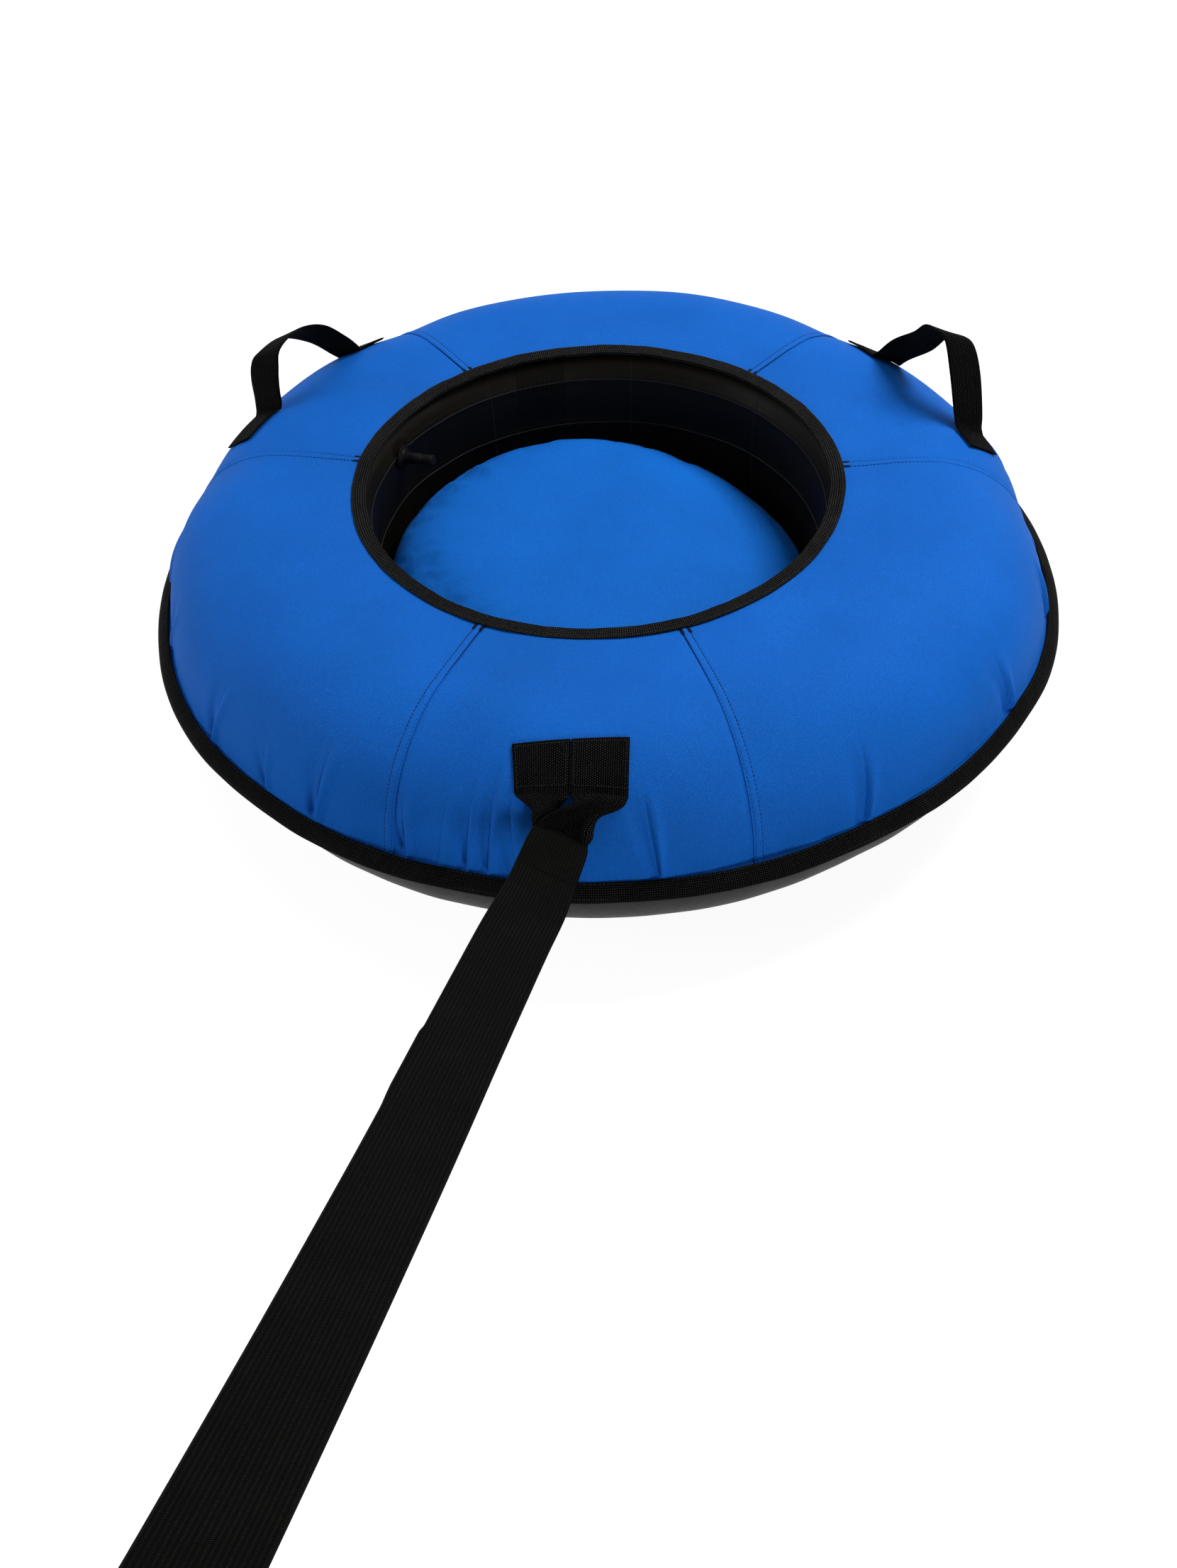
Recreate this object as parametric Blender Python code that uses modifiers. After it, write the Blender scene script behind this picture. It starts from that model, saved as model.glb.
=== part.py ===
"""A towable snow tube: an inflated rubber ring in a sewn cover, with a seat pad, two grips and a tow strap.

The origin lies on the ground under the middle of the ring, +Z is up, and the tow strap leaves towards -Y.
The ring's section is described by radius and height. Every turned piece has the same facets, so that
the layers of rubber and cloth nest with a constant gap.
"""
import math

import bmesh
import bpy
from mathutils import Matrix, Vector

# Inflated ring
ring_radius = 0.336
section_half_width = 0.110
section_half_height = 0.121
hole_wall_reach = 0.106
hole_wall_radius = ring_radius - hole_wall_reach
tube_wall = 0.0022
tube_hole_power = 6
tube_foot_power = 2.2
tube_inner_foot_power = 3
# First turn, last turn and steps of the two outer quarters, which all layers share
shoulder_turns = (90, 4, 10)
foot_turns = (-8, -90, 6)
facets = 48
facet_angle = math.tau / facets

# Cloth, sheet, tape and webbing
cover_cloth = 0.0008
base_cloth = 0.0010
tape_cloth = 0.0012
webbing = 0.0020
clearance = 0.0003
merge_distance = 0.00001

# Cover panels: the three narrow ones lie under the tow strap and the two grips
narrow_panel_facets = 6
wide_panel_facets = 10
tow_azimuth = math.radians(-90)
right_grip_azimuth = math.radians(30)
left_grip_azimuth = math.radians(150)

# Tape round the hole and round the rim
hole_tape_lap = 0.020
hole_tape_outer_radius = hole_wall_radius + hole_tape_lap
hole_tape_reach = 0.0155
rim_seam_lift = 0.0017
rim_seam_height = section_half_height + rim_seam_lift
rim_seam_step = 0.0015
rim_seam_radius = ring_radius + section_half_width + rim_seam_step
rim_flange = 0.0125
rim_tape_outer_radius = rim_seam_radius + rim_flange
rim_tape_reach = 0.0085

# Seat pad in the hole
seat_crown_height = 0.169
seat_side_height = 0.128
seat_wall_gap = 0.0005
seat_skirt_foot = 0.004
seat_rim_power = 2.2
seat_dome_power = 2.5
seat_radius_shares = (0, 0.30, 0.55, 0.75, 0.88, 0.96, 1)

# Valve in the wall of the hole
valve_azimuth = math.radians(157.5)
valve_lift = 0.084
valve_height = section_half_height + valve_lift
valve_bore_radius = 0.0065
valve_flange_radius = 0.0125
valve_flange_height = 0.0016
valve_boot_radius = 0.0085
valve_boot_tip_radius = 0.0062
valve_boot_length = 0.017
stem_radius = 0.0038
stem_length = 0.036
core_radius = 0.0020
core_length = 0.011
core_depth = 0.001
pin_radius = 0.0008
pin_length = 0.010
pin_rise = 0.0008
cap_radius = 0.0056
cap_length = 0.013
cap_roof = 0.0015
cap_headroom = 0.0012
valve_sides = 16
cap_sides = 20

# Grips
grip_width = 0.040
grip_root_shift = 0.047
grip_root_reach = ring_radius + grip_root_shift
grip_half_span = 0.072
grip_foot_length = 0.050
grip_foot_overlap = 0.006
grip_height = 0.061
grip_arch_power = 2.6
grip_arch_points = 22
left_grip_lean = math.radians(4)
right_grip_lean = math.radians(14)
grip_pivot_gap = 0.0005
end_turns = (80, 60, 30)

# Tow anchor: two sewn ends of one webbing strap, side by side
anchor_width = 0.052
anchor_slit = 0.0006
anchor_top_reach = ring_radius + 0.042
anchor_bottom_reach = ring_radius + 0.080
anchor_fold_half = 0.0006
anchor_fold_overlap = 0.0004
anchor_fold_gap = 0.0010
bight_reach = 0.0387
bight_fall = math.radians(43.5)
bight_shift = -0.003
bight_radius = 0.0045
bight_half_span = 0.027
loop_sides = 10
# Shares of the reach, of the way inwards, and of the way from flat end to round bight
anchor_leg_shares = ((0, 0, 0), (0.16, 0, 0.10), (0.36, 0.08, 0.42), (0.58, 0.45, 0.80), (0.78, 0.88, 1),
                     (0.90, 1, 1))
knee_inward_share = 1 / 2
knee_upward_share = 1 / 3

# Tow strap, doubled webbing that leaves the anchor loop
strap_width = 0.060
strap_thickness = 0.0040
strap_across = Vector((0.912, -0.236, -0.335))
# Steps from the middle of the anchor loop's bight
strap_route = [
    Vector((-0.0115, -0.0531, 0.0112)),
    Vector((-0.0155, -0.1090, 0.0369)),
    Vector((-0.0238, -0.1767, 0.0677)),
    Vector((-0.0325, -0.2612, 0.1065)),
    Vector((-0.0407, -0.3457, 0.1461)),
    Vector((-0.0482, -0.4303, 0.1867)),
    Vector((-0.0557, -0.5148, 0.2281)),
    Vector((-0.0633, -0.5993, 0.2705)),
    Vector((-0.0708, -0.6838, 0.3137)),
    Vector((-0.0784, -0.7684, 0.3577)),
    Vector((-0.0859, -0.8529, 0.4027)),
    Vector((-0.0919, -0.9205, 0.4393)),
]
eye_half_width = 0.0212
eye_straight_reach = 0.010
eye_gap = 0.0005
# Shares of the eye's length, and of the fold's radius that the layers stand apart
eye_profile_shares = ((1, 0), (0.80, 0), (0.55, 0.12), (0.30, 0.42))
eye_fold_turns = (75, 100, 130, 155, 180)
layer_gap = 0.0003
hand_loop_length = 0.150
hand_loop_half_opening = 0.034
hand_loop_points = 28
hand_loop_power = 1.5

# Finishes: colour, roughness and metallic value
blue_cloth = ((0.012, 0.150, 0.610), 0.62, 0)
black_tape = ((0.012, 0.012, 0.013), 0.78, 0)
black_webbing = ((0.013, 0.013, 0.014), 0.74, 0)
grey_sheet = ((0.048, 0.046, 0.050), 0.55, 0)
black_rubber = ((0.012, 0.012, 0.013), 0.58, 0)
pad_foam = ((0.62, 0.60, 0.52), 0.95, 0)
stem_brass = ((0.55, 0.40, 0.18), 0.35, 1)
cap_plastic = ((0.015, 0.015, 0.016), 0.45, 0)


def clear_scene():
    """Remove what the file holds already."""
    for thing in list(bpy.data.objects):
        bpy.data.objects.remove(thing, do_unlink=True)


def collection(name):
    """Make a collection in the scene."""
    group = bpy.data.collections.new(name)
    bpy.context.scene.collection.children.link(group)
    return group


def finish_material(name, finish):
    """Make a plain material for one piece."""
    colour, roughness, metallic = finish
    material = bpy.data.materials.new(name + "_finish")
    material.use_nodes = True
    shader = material.node_tree.nodes["Principled BSDF"]
    shader.inputs["Base Color"].default_value = (*colour, 1)
    shader.inputs["Roughness"].default_value = roughness
    shader.inputs["Metallic"].default_value = metallic
    material.diffuse_color = (*colour, 1)
    return material


def add_object(name, mesh, finish, group):
    """Put a mesh in a collection as a named object with its own material."""
    thing = bpy.data.objects.new(name, mesh)
    group.objects.link(thing)
    mesh.materials.append(finish_material(name, finish))
    mesh.shade_smooth()
    return thing


def turned(name, outline, finish, group, steps=facets, sweep=math.tau, closed=False, wall=0):
    """Turn an outline of (radius, height) points round Z; an open outline gets a wall inwards."""
    mesh = bpy.data.meshes.new(name)
    corners = [(radius, 0, height) for radius, height in outline]
    edges = [(index, index + 1) for index in range(len(corners) - 1)]
    if closed:
        edges.append((len(corners) - 1, 0))
    mesh.from_pydata(corners, edges, [])
    thing = add_object(name, mesh, finish, group)
    screw = thing.modifiers.new("turn", "SCREW")
    screw.axis = "Z"
    screw.angle = sweep
    screw.steps = steps
    screw.render_steps = steps
    screw.use_merge_vertices = sweep == math.tau
    screw.merge_threshold = merge_distance
    if wall:
        add_wall(thing, wall, -1)
    return thing


def add_wall(thing, thickness, side):
    """Give a surface its thickness, inwards (-1), to both sides (0) or outwards (1)."""
    solidify = thing.modifiers.new("wall", "SOLIDIFY")
    solidify.thickness = thickness
    solidify.offset = side
    solidify.use_even_offset = True
    solidify.use_quality_normals = True


def superellipse(centre, half_sizes, powers, start, end, steps):
    """Points of a quarter of a superellipse between two turns, given in degrees from +radius."""
    points = []
    for step in range(steps + 1):
        turn = math.radians(start + (end - start) * step / steps)
        across = math.copysign(abs(math.cos(turn)) ** (2 / powers[0]), math.cos(turn))
        upward = math.copysign(abs(math.sin(turn)) ** (2 / powers[1]), math.sin(turn))
        points.append((centre[0] + half_sizes[0] * across, centre[1] + half_sizes[1] * upward))
    return points


def cover_height(radius):
    """Height of the cover's outer face over the shoulder."""
    share = (radius - ring_radius) / section_half_width
    return section_half_height * (1 + math.sqrt(1 - share * share))


def cover_tilt(radius):
    """Angle of the cover's outward normal away from straight up."""
    height = cover_height(radius) - section_half_height
    return math.atan2((radius - ring_radius) / section_half_width ** 2, height / section_half_height ** 2)


def on_cover(azimuth, radius, lift):
    """Point over the cover's outer face, lifted along the normal."""
    tilt = cover_tilt(radius)
    reach = radius + lift * math.sin(tilt)
    height = cover_height(radius) + lift * math.cos(tilt)
    return Vector((reach * math.cos(azimuth), reach * math.sin(azimuth), height))


def hole_wall_at(height):
    """Radius and tilt of the tube's wall in the hole, at a height above the middle of the section."""
    half_width = ring_radius - hole_wall_radius
    half_height = section_half_height - cover_cloth - clearance
    share = (height - section_half_height) / half_height
    across = (1 - share ** tube_hole_power) ** (1 / tube_hole_power)
    slope = math.atan2(share ** (tube_hole_power - 1) / half_height,
                       across ** (tube_hole_power - 1) / half_width)
    return ring_radius - half_width * across, slope


def cover_outline():
    """Outer face of the cover from the hole to the seam at the rim."""
    edge = hole_tape_outer_radius - hole_tape_reach + tape_cloth + clearance
    top = 2 * section_half_height
    centre = (ring_radius, section_half_height)
    half_sizes = (section_half_width, section_half_height)
    shoulder = superellipse(centre, half_sizes, (2, 2), *shoulder_turns)
    flange = rim_seam_height + cover_cloth
    seam_edge = rim_tape_outer_radius - tape_cloth - clearance
    return [(edge, top)] + shoulder + [(rim_seam_radius, flange), (seam_edge, flange)]


def tube_outline():
    """Outer face of the inner tube, clockwise from its top."""
    shell = cover_cloth + clearance
    sheet = base_cloth + clearance
    centre = (ring_radius, section_half_height)
    outer = section_half_width - max(shell, sheet)
    up = section_half_height - shell
    down = section_half_height - sheet
    inner = ring_radius - hole_wall_radius
    shoulder = superellipse(centre, (section_half_width - shell, up), (2, 2), *shoulder_turns)
    foot = superellipse(centre, (outer, down), (tube_foot_power,) * 2, *foot_turns)
    inner_foot = superellipse(centre, (inner, down), (tube_inner_foot_power,) * 2, -112, -180, 3)
    hole_wall = superellipse(centre, (inner, up), (tube_hole_power,) * 2, 160, 108, 4)
    return shoulder + foot + inner_foot + hole_wall


def base_outline():
    """Outer face of the base sheet, from the seam at the rim to the middle of the floor."""
    centre = (ring_radius, section_half_height)
    flange = rim_seam_height - clearance - base_cloth
    seam_edge = rim_tape_outer_radius - tape_cloth - clearance
    half_sizes = (section_half_width, section_half_height)
    foot = superellipse(centre, half_sizes, (tube_foot_power,) * 2, *foot_turns)
    return [(seam_edge, flange), (rim_seam_radius, flange)] + foot + [(0, 0)]


def tape_outline(bight, reach, low, high, side):
    """Folded tape round an edge: bight radius, reach, the faces that it holds, and where it opens (+1 out)."""
    end = bight + side * reach
    inside = bight + side * tape_cloth
    bottom = low - clearance
    top = high + clearance
    points = [
        (bight, top + tape_cloth), (end, top + tape_cloth), (end, top), (inside, top),
        (inside, bottom), (end, bottom), (end, bottom - tape_cloth), (bight, bottom - tape_cloth),
    ]
    return points if side > 0 else points[::-1]


def seat_outline(inset, foot):
    """Domed top and upright side of the seat, drawn in by an inset."""
    radius = hole_wall_radius - seat_wall_gap - inset
    rise = seat_crown_height - seat_side_height
    dome = []
    for share in seat_radius_shares:
        lift = (1 - share ** seat_rim_power) ** (1 / seat_dome_power)
        dome.append((radius * share, seat_side_height - inset + rise * lift))
    return dome + [(radius, foot)]


def sewn_patch(name, azimuth, reaches, sides, follows_ring, cells, finish, group):
    """Webbing sewn on the cover, between two reaches along an azimuth and two places beside it."""
    grid = bmesh.new()
    bmesh.ops.create_grid(grid, x_segments=cells[0], y_segments=cells[1], size=1)
    for corner in grid.verts:
        reach = reaches[0] + (reaches[1] - reaches[0]) * (1 + corner.co.x) / 2
        side = sides[0] + (sides[1] - sides[0]) * (1 + corner.co.y) / 2
        radius = reach if follows_ring else math.hypot(reach, side)
        corner.co = on_cover(azimuth + math.atan2(side, reach), radius, clearance)
    mesh = bpy.data.meshes.new(name)
    grid.to_mesh(mesh)
    grid.free()
    thing = add_object(name, mesh, finish, group)
    add_wall(thing, webbing, 1)
    return thing


def ribbon(name, rows, thickness, finish, group):
    """Webbing strip through rows of (centre, half width vector), with its thickness on both sides."""
    grid = bmesh.new()
    bmesh.ops.create_grid(grid, x_segments=len(rows) - 1, y_segments=1, size=1)
    for corner in grid.verts:
        row = round((corner.co.x + 1) / 2 * (len(rows) - 1))
        centre, half_width = rows[row]
        corner.co = centre + half_width * round(corner.co.y)
    mesh = bpy.data.meshes.new(name)
    grid.to_mesh(mesh)
    grid.free()
    thing = add_object(name, mesh, finish, group)
    add_wall(thing, thickness, 0)
    return thing


def split_quads(thing):
    """Split a twisted strip's four-sided faces, so that each one is flat."""
    grid = bmesh.new()
    grid.from_mesh(thing.data)
    bmesh.ops.triangulate(grid, faces=grid.faces)
    grid.to_mesh(thing.data)
    grid.free()


def loft(name, rings, finish, group):
    """Solid through rings of points, closed at both ends."""
    solid = bmesh.new()
    layers = [[solid.verts.new(point) for point in ring] for ring in rings]
    count = len(rings[0])
    for low, high in zip(layers, layers[1:]):
        for index in range(count):
            after = (index + 1) % count
            solid.faces.new((low[index], low[after], high[after], high[index]))
    solid.faces.new(layers[0][::-1])
    solid.faces.new(layers[-1])
    bmesh.ops.recalc_face_normals(solid, faces=solid.faces)
    mesh = bpy.data.meshes.new(name)
    solid.to_mesh(mesh)
    solid.free()
    return add_object(name, mesh, finish, group)


def add_panels(group):
    """Six cover panels, narrow and wide in turn, with a gap at each seam."""
    outline = cover_outline()
    seam_angle = clearance / hole_tape_outer_radius
    narrow = narrow_panel_facets * facet_angle
    wide = wide_panel_facets * facet_angle
    places = [
        ("front_panel", tow_azimuth, narrow, narrow_panel_facets),
        ("right_grip_panel", right_grip_azimuth, narrow, narrow_panel_facets),
        ("left_grip_panel", left_grip_azimuth, narrow, narrow_panel_facets),
        ("front_right_panel", (tow_azimuth + right_grip_azimuth) / 2, wide, wide_panel_facets),
        ("back_panel", (right_grip_azimuth + left_grip_azimuth) / 2, wide, wide_panel_facets),
        ("front_left_panel", (left_grip_azimuth + tow_azimuth + math.tau) / 2, wide, wide_panel_facets),
    ]
    for name, middle, sweep, steps in places:
        panel = turned(name, outline, blue_cloth, group, steps, sweep - seam_angle, wall=cover_cloth)
        panel.rotation_euler.z = middle - (sweep - seam_angle) / 2


def add_bindings(group):
    """Tape folded over the cover's edge at the hole, and over the seam at the rim."""
    top = 2 * section_half_height
    bight = hole_tape_outer_radius - hole_tape_reach
    outline = tape_outline(bight, hole_tape_reach, top - cover_cloth, top, 1)
    turned("hole_binding", outline, black_tape, group, closed=True)
    low = rim_seam_height - clearance - base_cloth
    high = rim_seam_height + cover_cloth
    outline = tape_outline(rim_tape_outer_radius, rim_tape_reach, low, high, -1)
    turned("rim_binding", outline, black_tape, group, closed=True)


def add_seat(group):
    """Foam pad and the cloth over it."""
    floor = base_cloth + clearance
    turned("seat_cover", seat_outline(0, floor + seat_skirt_foot), blue_cloth, group, wall=cover_cloth)
    pad = seat_outline(cover_cloth + clearance, floor)
    turned("seat_pad", pad + [(0, floor)], pad_foam, group)


def valve_matrix():
    """Frame of the valve: its Z runs out of the tube's wall into the hole."""
    radius, slope = hole_wall_at(valve_height)
    inward = Vector((-math.cos(valve_azimuth), -math.sin(valve_azimuth), 0))
    axis = inward * math.cos(slope) + Vector((0, 0, math.sin(slope)))
    place = -inward * radius + Vector((0, 0, valve_height))
    turn = axis.to_track_quat("Z", "Y").to_matrix().to_4x4()
    return Matrix.Translation(place) @ turn


def add_tube_and_valve(group, cutters):
    """Hollow inner tube with a bore in its wall, and the valve in that bore."""
    tube = turned("inner_tube", tube_outline(), black_rubber, group, closed=True, wall=tube_wall)
    frame = valve_matrix()
    depth = 4 * tube_wall
    bpy.ops.mesh.primitive_cylinder_add(vertices=valve_sides, radius=valve_bore_radius, depth=depth)
    bore = bpy.context.active_object
    bore.name = "valve_bore_cutter"
    for owner in list(bore.users_collection):
        owner.objects.unlink(bore)
    cutters.objects.link(bore)
    bore.matrix_world = frame
    bore.hide_render = True
    bore.display_type = "WIRE"
    cut = tube.modifiers.new("valve_bore", "BOOLEAN")
    cut.operation = "DIFFERENCE"
    cut.object = bore

    seat = valve_flange_radius * math.tan(facet_angle / 2) + clearance
    neck = valve_bore_radius - clearance
    stem_bore = stem_radius + clearance
    boot_foot = seat + valve_flange_height
    boot_tip = seat + valve_boot_length
    base = [
        (stem_bore, boot_tip), (valve_boot_tip_radius, boot_tip), (valve_boot_radius, boot_foot),
        (valve_flange_radius, boot_foot), (valve_flange_radius, seat), (neck, seat), (neck, -tube_wall),
        (stem_bore, -tube_wall),
    ]
    stem_foot = -tube_wall
    core_bore = core_radius + clearance
    stem = [(core_bore, stem_length), (stem_radius, stem_length), (stem_radius, stem_foot),
            (core_bore, stem_foot)]
    core_top = stem_length - core_depth
    pin_bore = pin_radius + clearance
    core = [(pin_bore, core_top), (core_radius, core_top), (core_radius, core_top - core_length),
            (pin_bore, core_top - core_length)]
    pin_top = core_top + pin_rise
    pin = [(0, pin_top), (pin_radius, pin_top), (pin_radius, pin_top - pin_length), (0, pin_top - pin_length)]
    cap_roof_face = stem_length + cap_headroom
    cap_top = cap_roof_face + cap_roof
    cap_bore = stem_radius + clearance
    cap = [(0, cap_top), (cap_radius, cap_top), (cap_radius, cap_top - cap_length),
           (cap_bore, cap_top - cap_length), (cap_bore, cap_roof_face), (0, cap_roof_face)]
    pieces = [
        ("valve_base", base, black_rubber, valve_sides, True),
        ("valve_stem", stem, stem_brass, valve_sides, True),
        ("valve_core", core, stem_brass, valve_sides, True),
        ("valve_pin", pin, stem_brass, valve_sides, False),
        ("valve_cap", cap, cap_plastic, cap_sides, False),
    ]
    for name, outline, finish, steps, closed in pieces:
        piece = turned(name, outline, finish, group, steps, closed=closed)
        piece.matrix_world = frame


def grip_lift():
    """Height of a grip's pivot over the cover, which lets the loop fold without touching it."""
    lift = clearance + webbing + grip_width / 2 + grip_pivot_gap
    return lift / math.cos(cover_tilt(math.hypot(grip_root_reach, grip_half_span)))


def grip_pivot(azimuth):
    """Middle of the line through both roots of a grip, on which it folds."""
    height = cover_height(math.hypot(grip_root_reach, grip_half_span)) + grip_lift()
    return Matrix.Rotation(azimuth, 3, "Z") @ Vector((grip_root_reach, 0, height))


def add_grip(side, azimuth, lean, group):
    """Two sewn feet and the arched loop between them, which folds about the line through its roots."""
    half_width = grip_width / 2
    slope_width = half_width * math.cos(cover_tilt(grip_root_reach))
    reaches = (grip_root_reach - slope_width, grip_root_reach + slope_width)
    front = 1 if side == "left" else -1
    near = grip_half_span - grip_foot_overlap
    far = near + grip_foot_length
    for end, turn in (("front", front), ("back", -front)):
        sides = sorted((turn * near, turn * far))
        sewn_patch(side + "_grip_" + end + "_foot", azimuth, reaches, sides, False, (4, 4),
                   black_webbing, group)

    arch = grip_height - grip_lift()
    rows = []
    for turn in end_turns:
        drop = half_width * math.sin(math.radians(turn))
        half = half_width * math.cos(math.radians(turn))
        rows.append((Vector((-grip_half_span, 0, -drop)), Vector((0, half, 0))))
    for step in range(grip_arch_points + 1):
        turn = math.pi * (1 - step / grip_arch_points)
        along = math.copysign(abs(math.cos(turn)) ** (2 / grip_arch_power), math.cos(turn))
        upward = abs(math.sin(turn)) ** (2 / grip_arch_power)
        rows.append((Vector((grip_half_span * along, 0, arch * upward)), Vector((0, half_width, 0))))
    ends = rows[len(end_turns) - 1::-1]
    rows += [(Vector((grip_half_span, 0, centre.z)), half) for centre, half in ends]
    loop = ribbon(side + "_grip_loop", rows, webbing, black_webbing, group)
    tangent = Matrix.Rotation(azimuth - math.pi / 2, 4, "Z")
    tilt = Matrix.Rotation(-lean, 4, "X")
    loop.matrix_world = Matrix.Translation(grip_pivot(azimuth)) @ tangent @ tilt


def anchor_fold():
    """Line along X on which the anchor loop folds, just below the sewn ends."""
    tilt = cover_tilt(anchor_bottom_reach)
    down = Vector((0, -math.cos(tilt), -math.sin(tilt)))
    edge = on_cover(tow_azimuth, anchor_bottom_reach, clearance + anchor_fold_half)
    edge.x = 0
    return edge + down * anchor_fold_gap


def anchor_out():
    """Direction in which the anchor loop hangs from its fold."""
    return Vector((0, -math.cos(bight_fall), -math.sin(bight_fall)))


def bight_centre():
    """Middle of the anchor loop's bight, round which the tow strap is folded."""
    return anchor_fold() + anchor_out() * bight_reach + Vector((bight_shift, 0, 0))


def add_anchor(group):
    """Two sewn ends of the anchor strap, and the gathered loop that hangs from them."""
    reaches = (anchor_top_reach, anchor_bottom_reach)
    near = anchor_slit / 2
    far = near + anchor_width
    for side, sides in (("left", (-far, -near)), ("right", (near, far))):
        sewn_patch("anchor_" + side + "_end", tow_azimuth, reaches, sides, True, (6, 6),
                   black_webbing, group)

    fold = anchor_fold()
    out = anchor_out()
    bight = bight_centre()
    normal = Vector((1, 0, 0)).cross(out)
    across = anchor_width / 2 + anchor_slit / 2
    half_end = anchor_width / 2 - anchor_slit
    legs = []
    for side in (-1, 1):
        leg = []
        for along_share, inward_share, round_share in anchor_leg_shares:
            place = fold + out * (bight_reach * along_share - anchor_fold_overlap * (1 - along_share))
            start = across * side
            end = bight.x + bight_half_span * side
            place.x = start + (end - start) * inward_share
            half = half_end + (bight_radius - half_end) * round_share
            thick = anchor_fold_half + (bight_radius - anchor_fold_half) * round_share
            leg.append((place, Vector((-side, 0, 0)), half, thick))
        legs.append(leg)
    corner = bight_radius + clearance
    knees = []
    for side in (-1, 1):
        sideways = Vector((side * (bight_half_span - corner * knee_inward_share), 0, 0))
        knee = bight + sideways - out * corner * knee_upward_share
        inward = (Vector((-side, 0, 0)) - out).normalized()
        knees.append((knee, inward, bight_radius, bight_radius))
    level = [(bight + Vector((side * eye_half_width, 0, 0)), -out, bight_radius, bight_radius)
             for side in (-1, 1)]
    path = legs[0] + [knees[0]] + level + [knees[1]] + legs[1][::-1]
    sections = []
    for place, inward, half, thick in path:
        ring = []
        for index in range(loop_sides):
            turn = math.tau * index / loop_sides
            ring.append(place + inward * half * math.cos(turn) + normal * thick * math.sin(turn))
        sections.append(ring)
    loop = loft("anchor_loop", sections, black_webbing, group)
    pivot_at(loop, fold)


def pivot_at(thing, place):
    """Move an object's origin, and leave its shape where it is."""
    thing.data.transform(Matrix.Translation(-place))
    thing.location = place


def strap_frame(index):
    """Direction, across and facing vectors of the tow strap at a point of its route."""
    before = strap_route[max(index - 1, 0)]
    after = strap_route[min(index + 1, len(strap_route) - 1)]
    direction = (after - before).normalized()
    across = (strap_across - direction * strap_across.dot(direction)).normalized()
    return direction, across, across.cross(direction)


def add_eye(bight, group):
    """End of the doubled strap, folded round the anchor loop's bight."""
    start = strap_route[0]
    level = Vector((0, start.y, start.z)).normalized()
    length = start.dot(level)
    drift = Vector((start.x / length, 0, 0))
    normal = Vector((1, 0, 0)).cross(level)
    fold_radius = bight_radius + eye_gap + webbing / 2
    side_half = (webbing + layer_gap) / 2
    nose = [(fold_radius * math.cos(math.radians(turn)), fold_radius * math.sin(math.radians(turn)))
            for turn in eye_fold_turns]
    upper = [(length * along_share, side_half + fold_radius * apart_share)
             for along_share, apart_share in eye_profile_shares] + nose
    lower = [(along, -height) for along, height in upper[-2::-1]]
    direction, strap_side, strap_facing = strap_frame(0)
    rows = []
    for along, height in upper + lower:
        share = max(0, (along - eye_straight_reach) / (length - eye_straight_reach))
        across = Vector((1, 0, 0)).lerp(strap_side, share).normalized()
        facing = normal.lerp(strap_facing, share).normalized()
        half = eye_half_width + (strap_width / 2 - eye_half_width) * math.sin(share * math.pi / 2)
        rows.append((bight + (level + drift) * along + facing * height, across * half))
    eye = ribbon("tow_eye", rows, webbing, black_webbing, group)
    split_quads(eye)
    pivot_at(eye, bight)


def add_tow_strap(group):
    """Folded eye round the anchor loop, the doubled strap, and the hand loop at its end."""
    bight = bight_centre()
    add_eye(bight, group)
    rows = []
    for index, step in enumerate(strap_route):
        direction, across, facing = strap_frame(index)
        gap = clearance if index == 0 else 0
        rows.append((bight + step + direction * gap, across * strap_width / 2))
    strap = ribbon("tow_strap", rows, strap_thickness, black_webbing, group)
    pivot_at(strap, bight)

    end = bight + strap_route[-1]
    direction, across, facing = strap_frame(len(strap_route) - 1)
    rows = []
    for step in range(hand_loop_points + 1):
        turn = math.tau * step / hand_loop_points
        along = clearance + hand_loop_length * (1 - math.cos(turn)) / 2
        height = (webbing + layer_gap) / 2 * math.cos(turn / 2)
        height += hand_loop_half_opening * math.sin(turn) * math.sin(turn / 2) ** hand_loop_power
        rows.append((end + direction * along + facing * height, across * strap_width / 2))
    hand = ribbon("tow_handle", rows, webbing, black_webbing, group)
    pivot_at(hand, bight)


def add_base(group):
    """Base sheet under the ring and across the hole."""
    turned("base_sheet", base_outline(), grey_sheet, group, wall=base_cloth)


def main():
    """Build every piece of the snow tube."""
    clear_scene()
    parts = collection("snow_tube")
    cutters = collection("cutters")
    add_tube_and_valve(parts, cutters)
    add_panels(parts)
    add_base(parts)
    add_bindings(parts)
    add_seat(parts)
    add_grip("left", left_grip_azimuth, left_grip_lean, parts)
    add_grip("right", right_grip_azimuth, right_grip_lean, parts)
    add_anchor(parts)
    add_tow_strap(parts)


main()
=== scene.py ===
"""The looks of a towable snow tube: cloth, tapes, webbing, rubber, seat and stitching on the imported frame.

Everything is in metres. The ring's middle is on Z, the floor is Z = 0 and the tow strap leaves towards -Y.
Angles round the ring are azimuths in degrees, -90 at the tow strap.
"""
import math

import bmesh
import bpy
import numpy as np
from mathutils import Matrix, Vector


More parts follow.
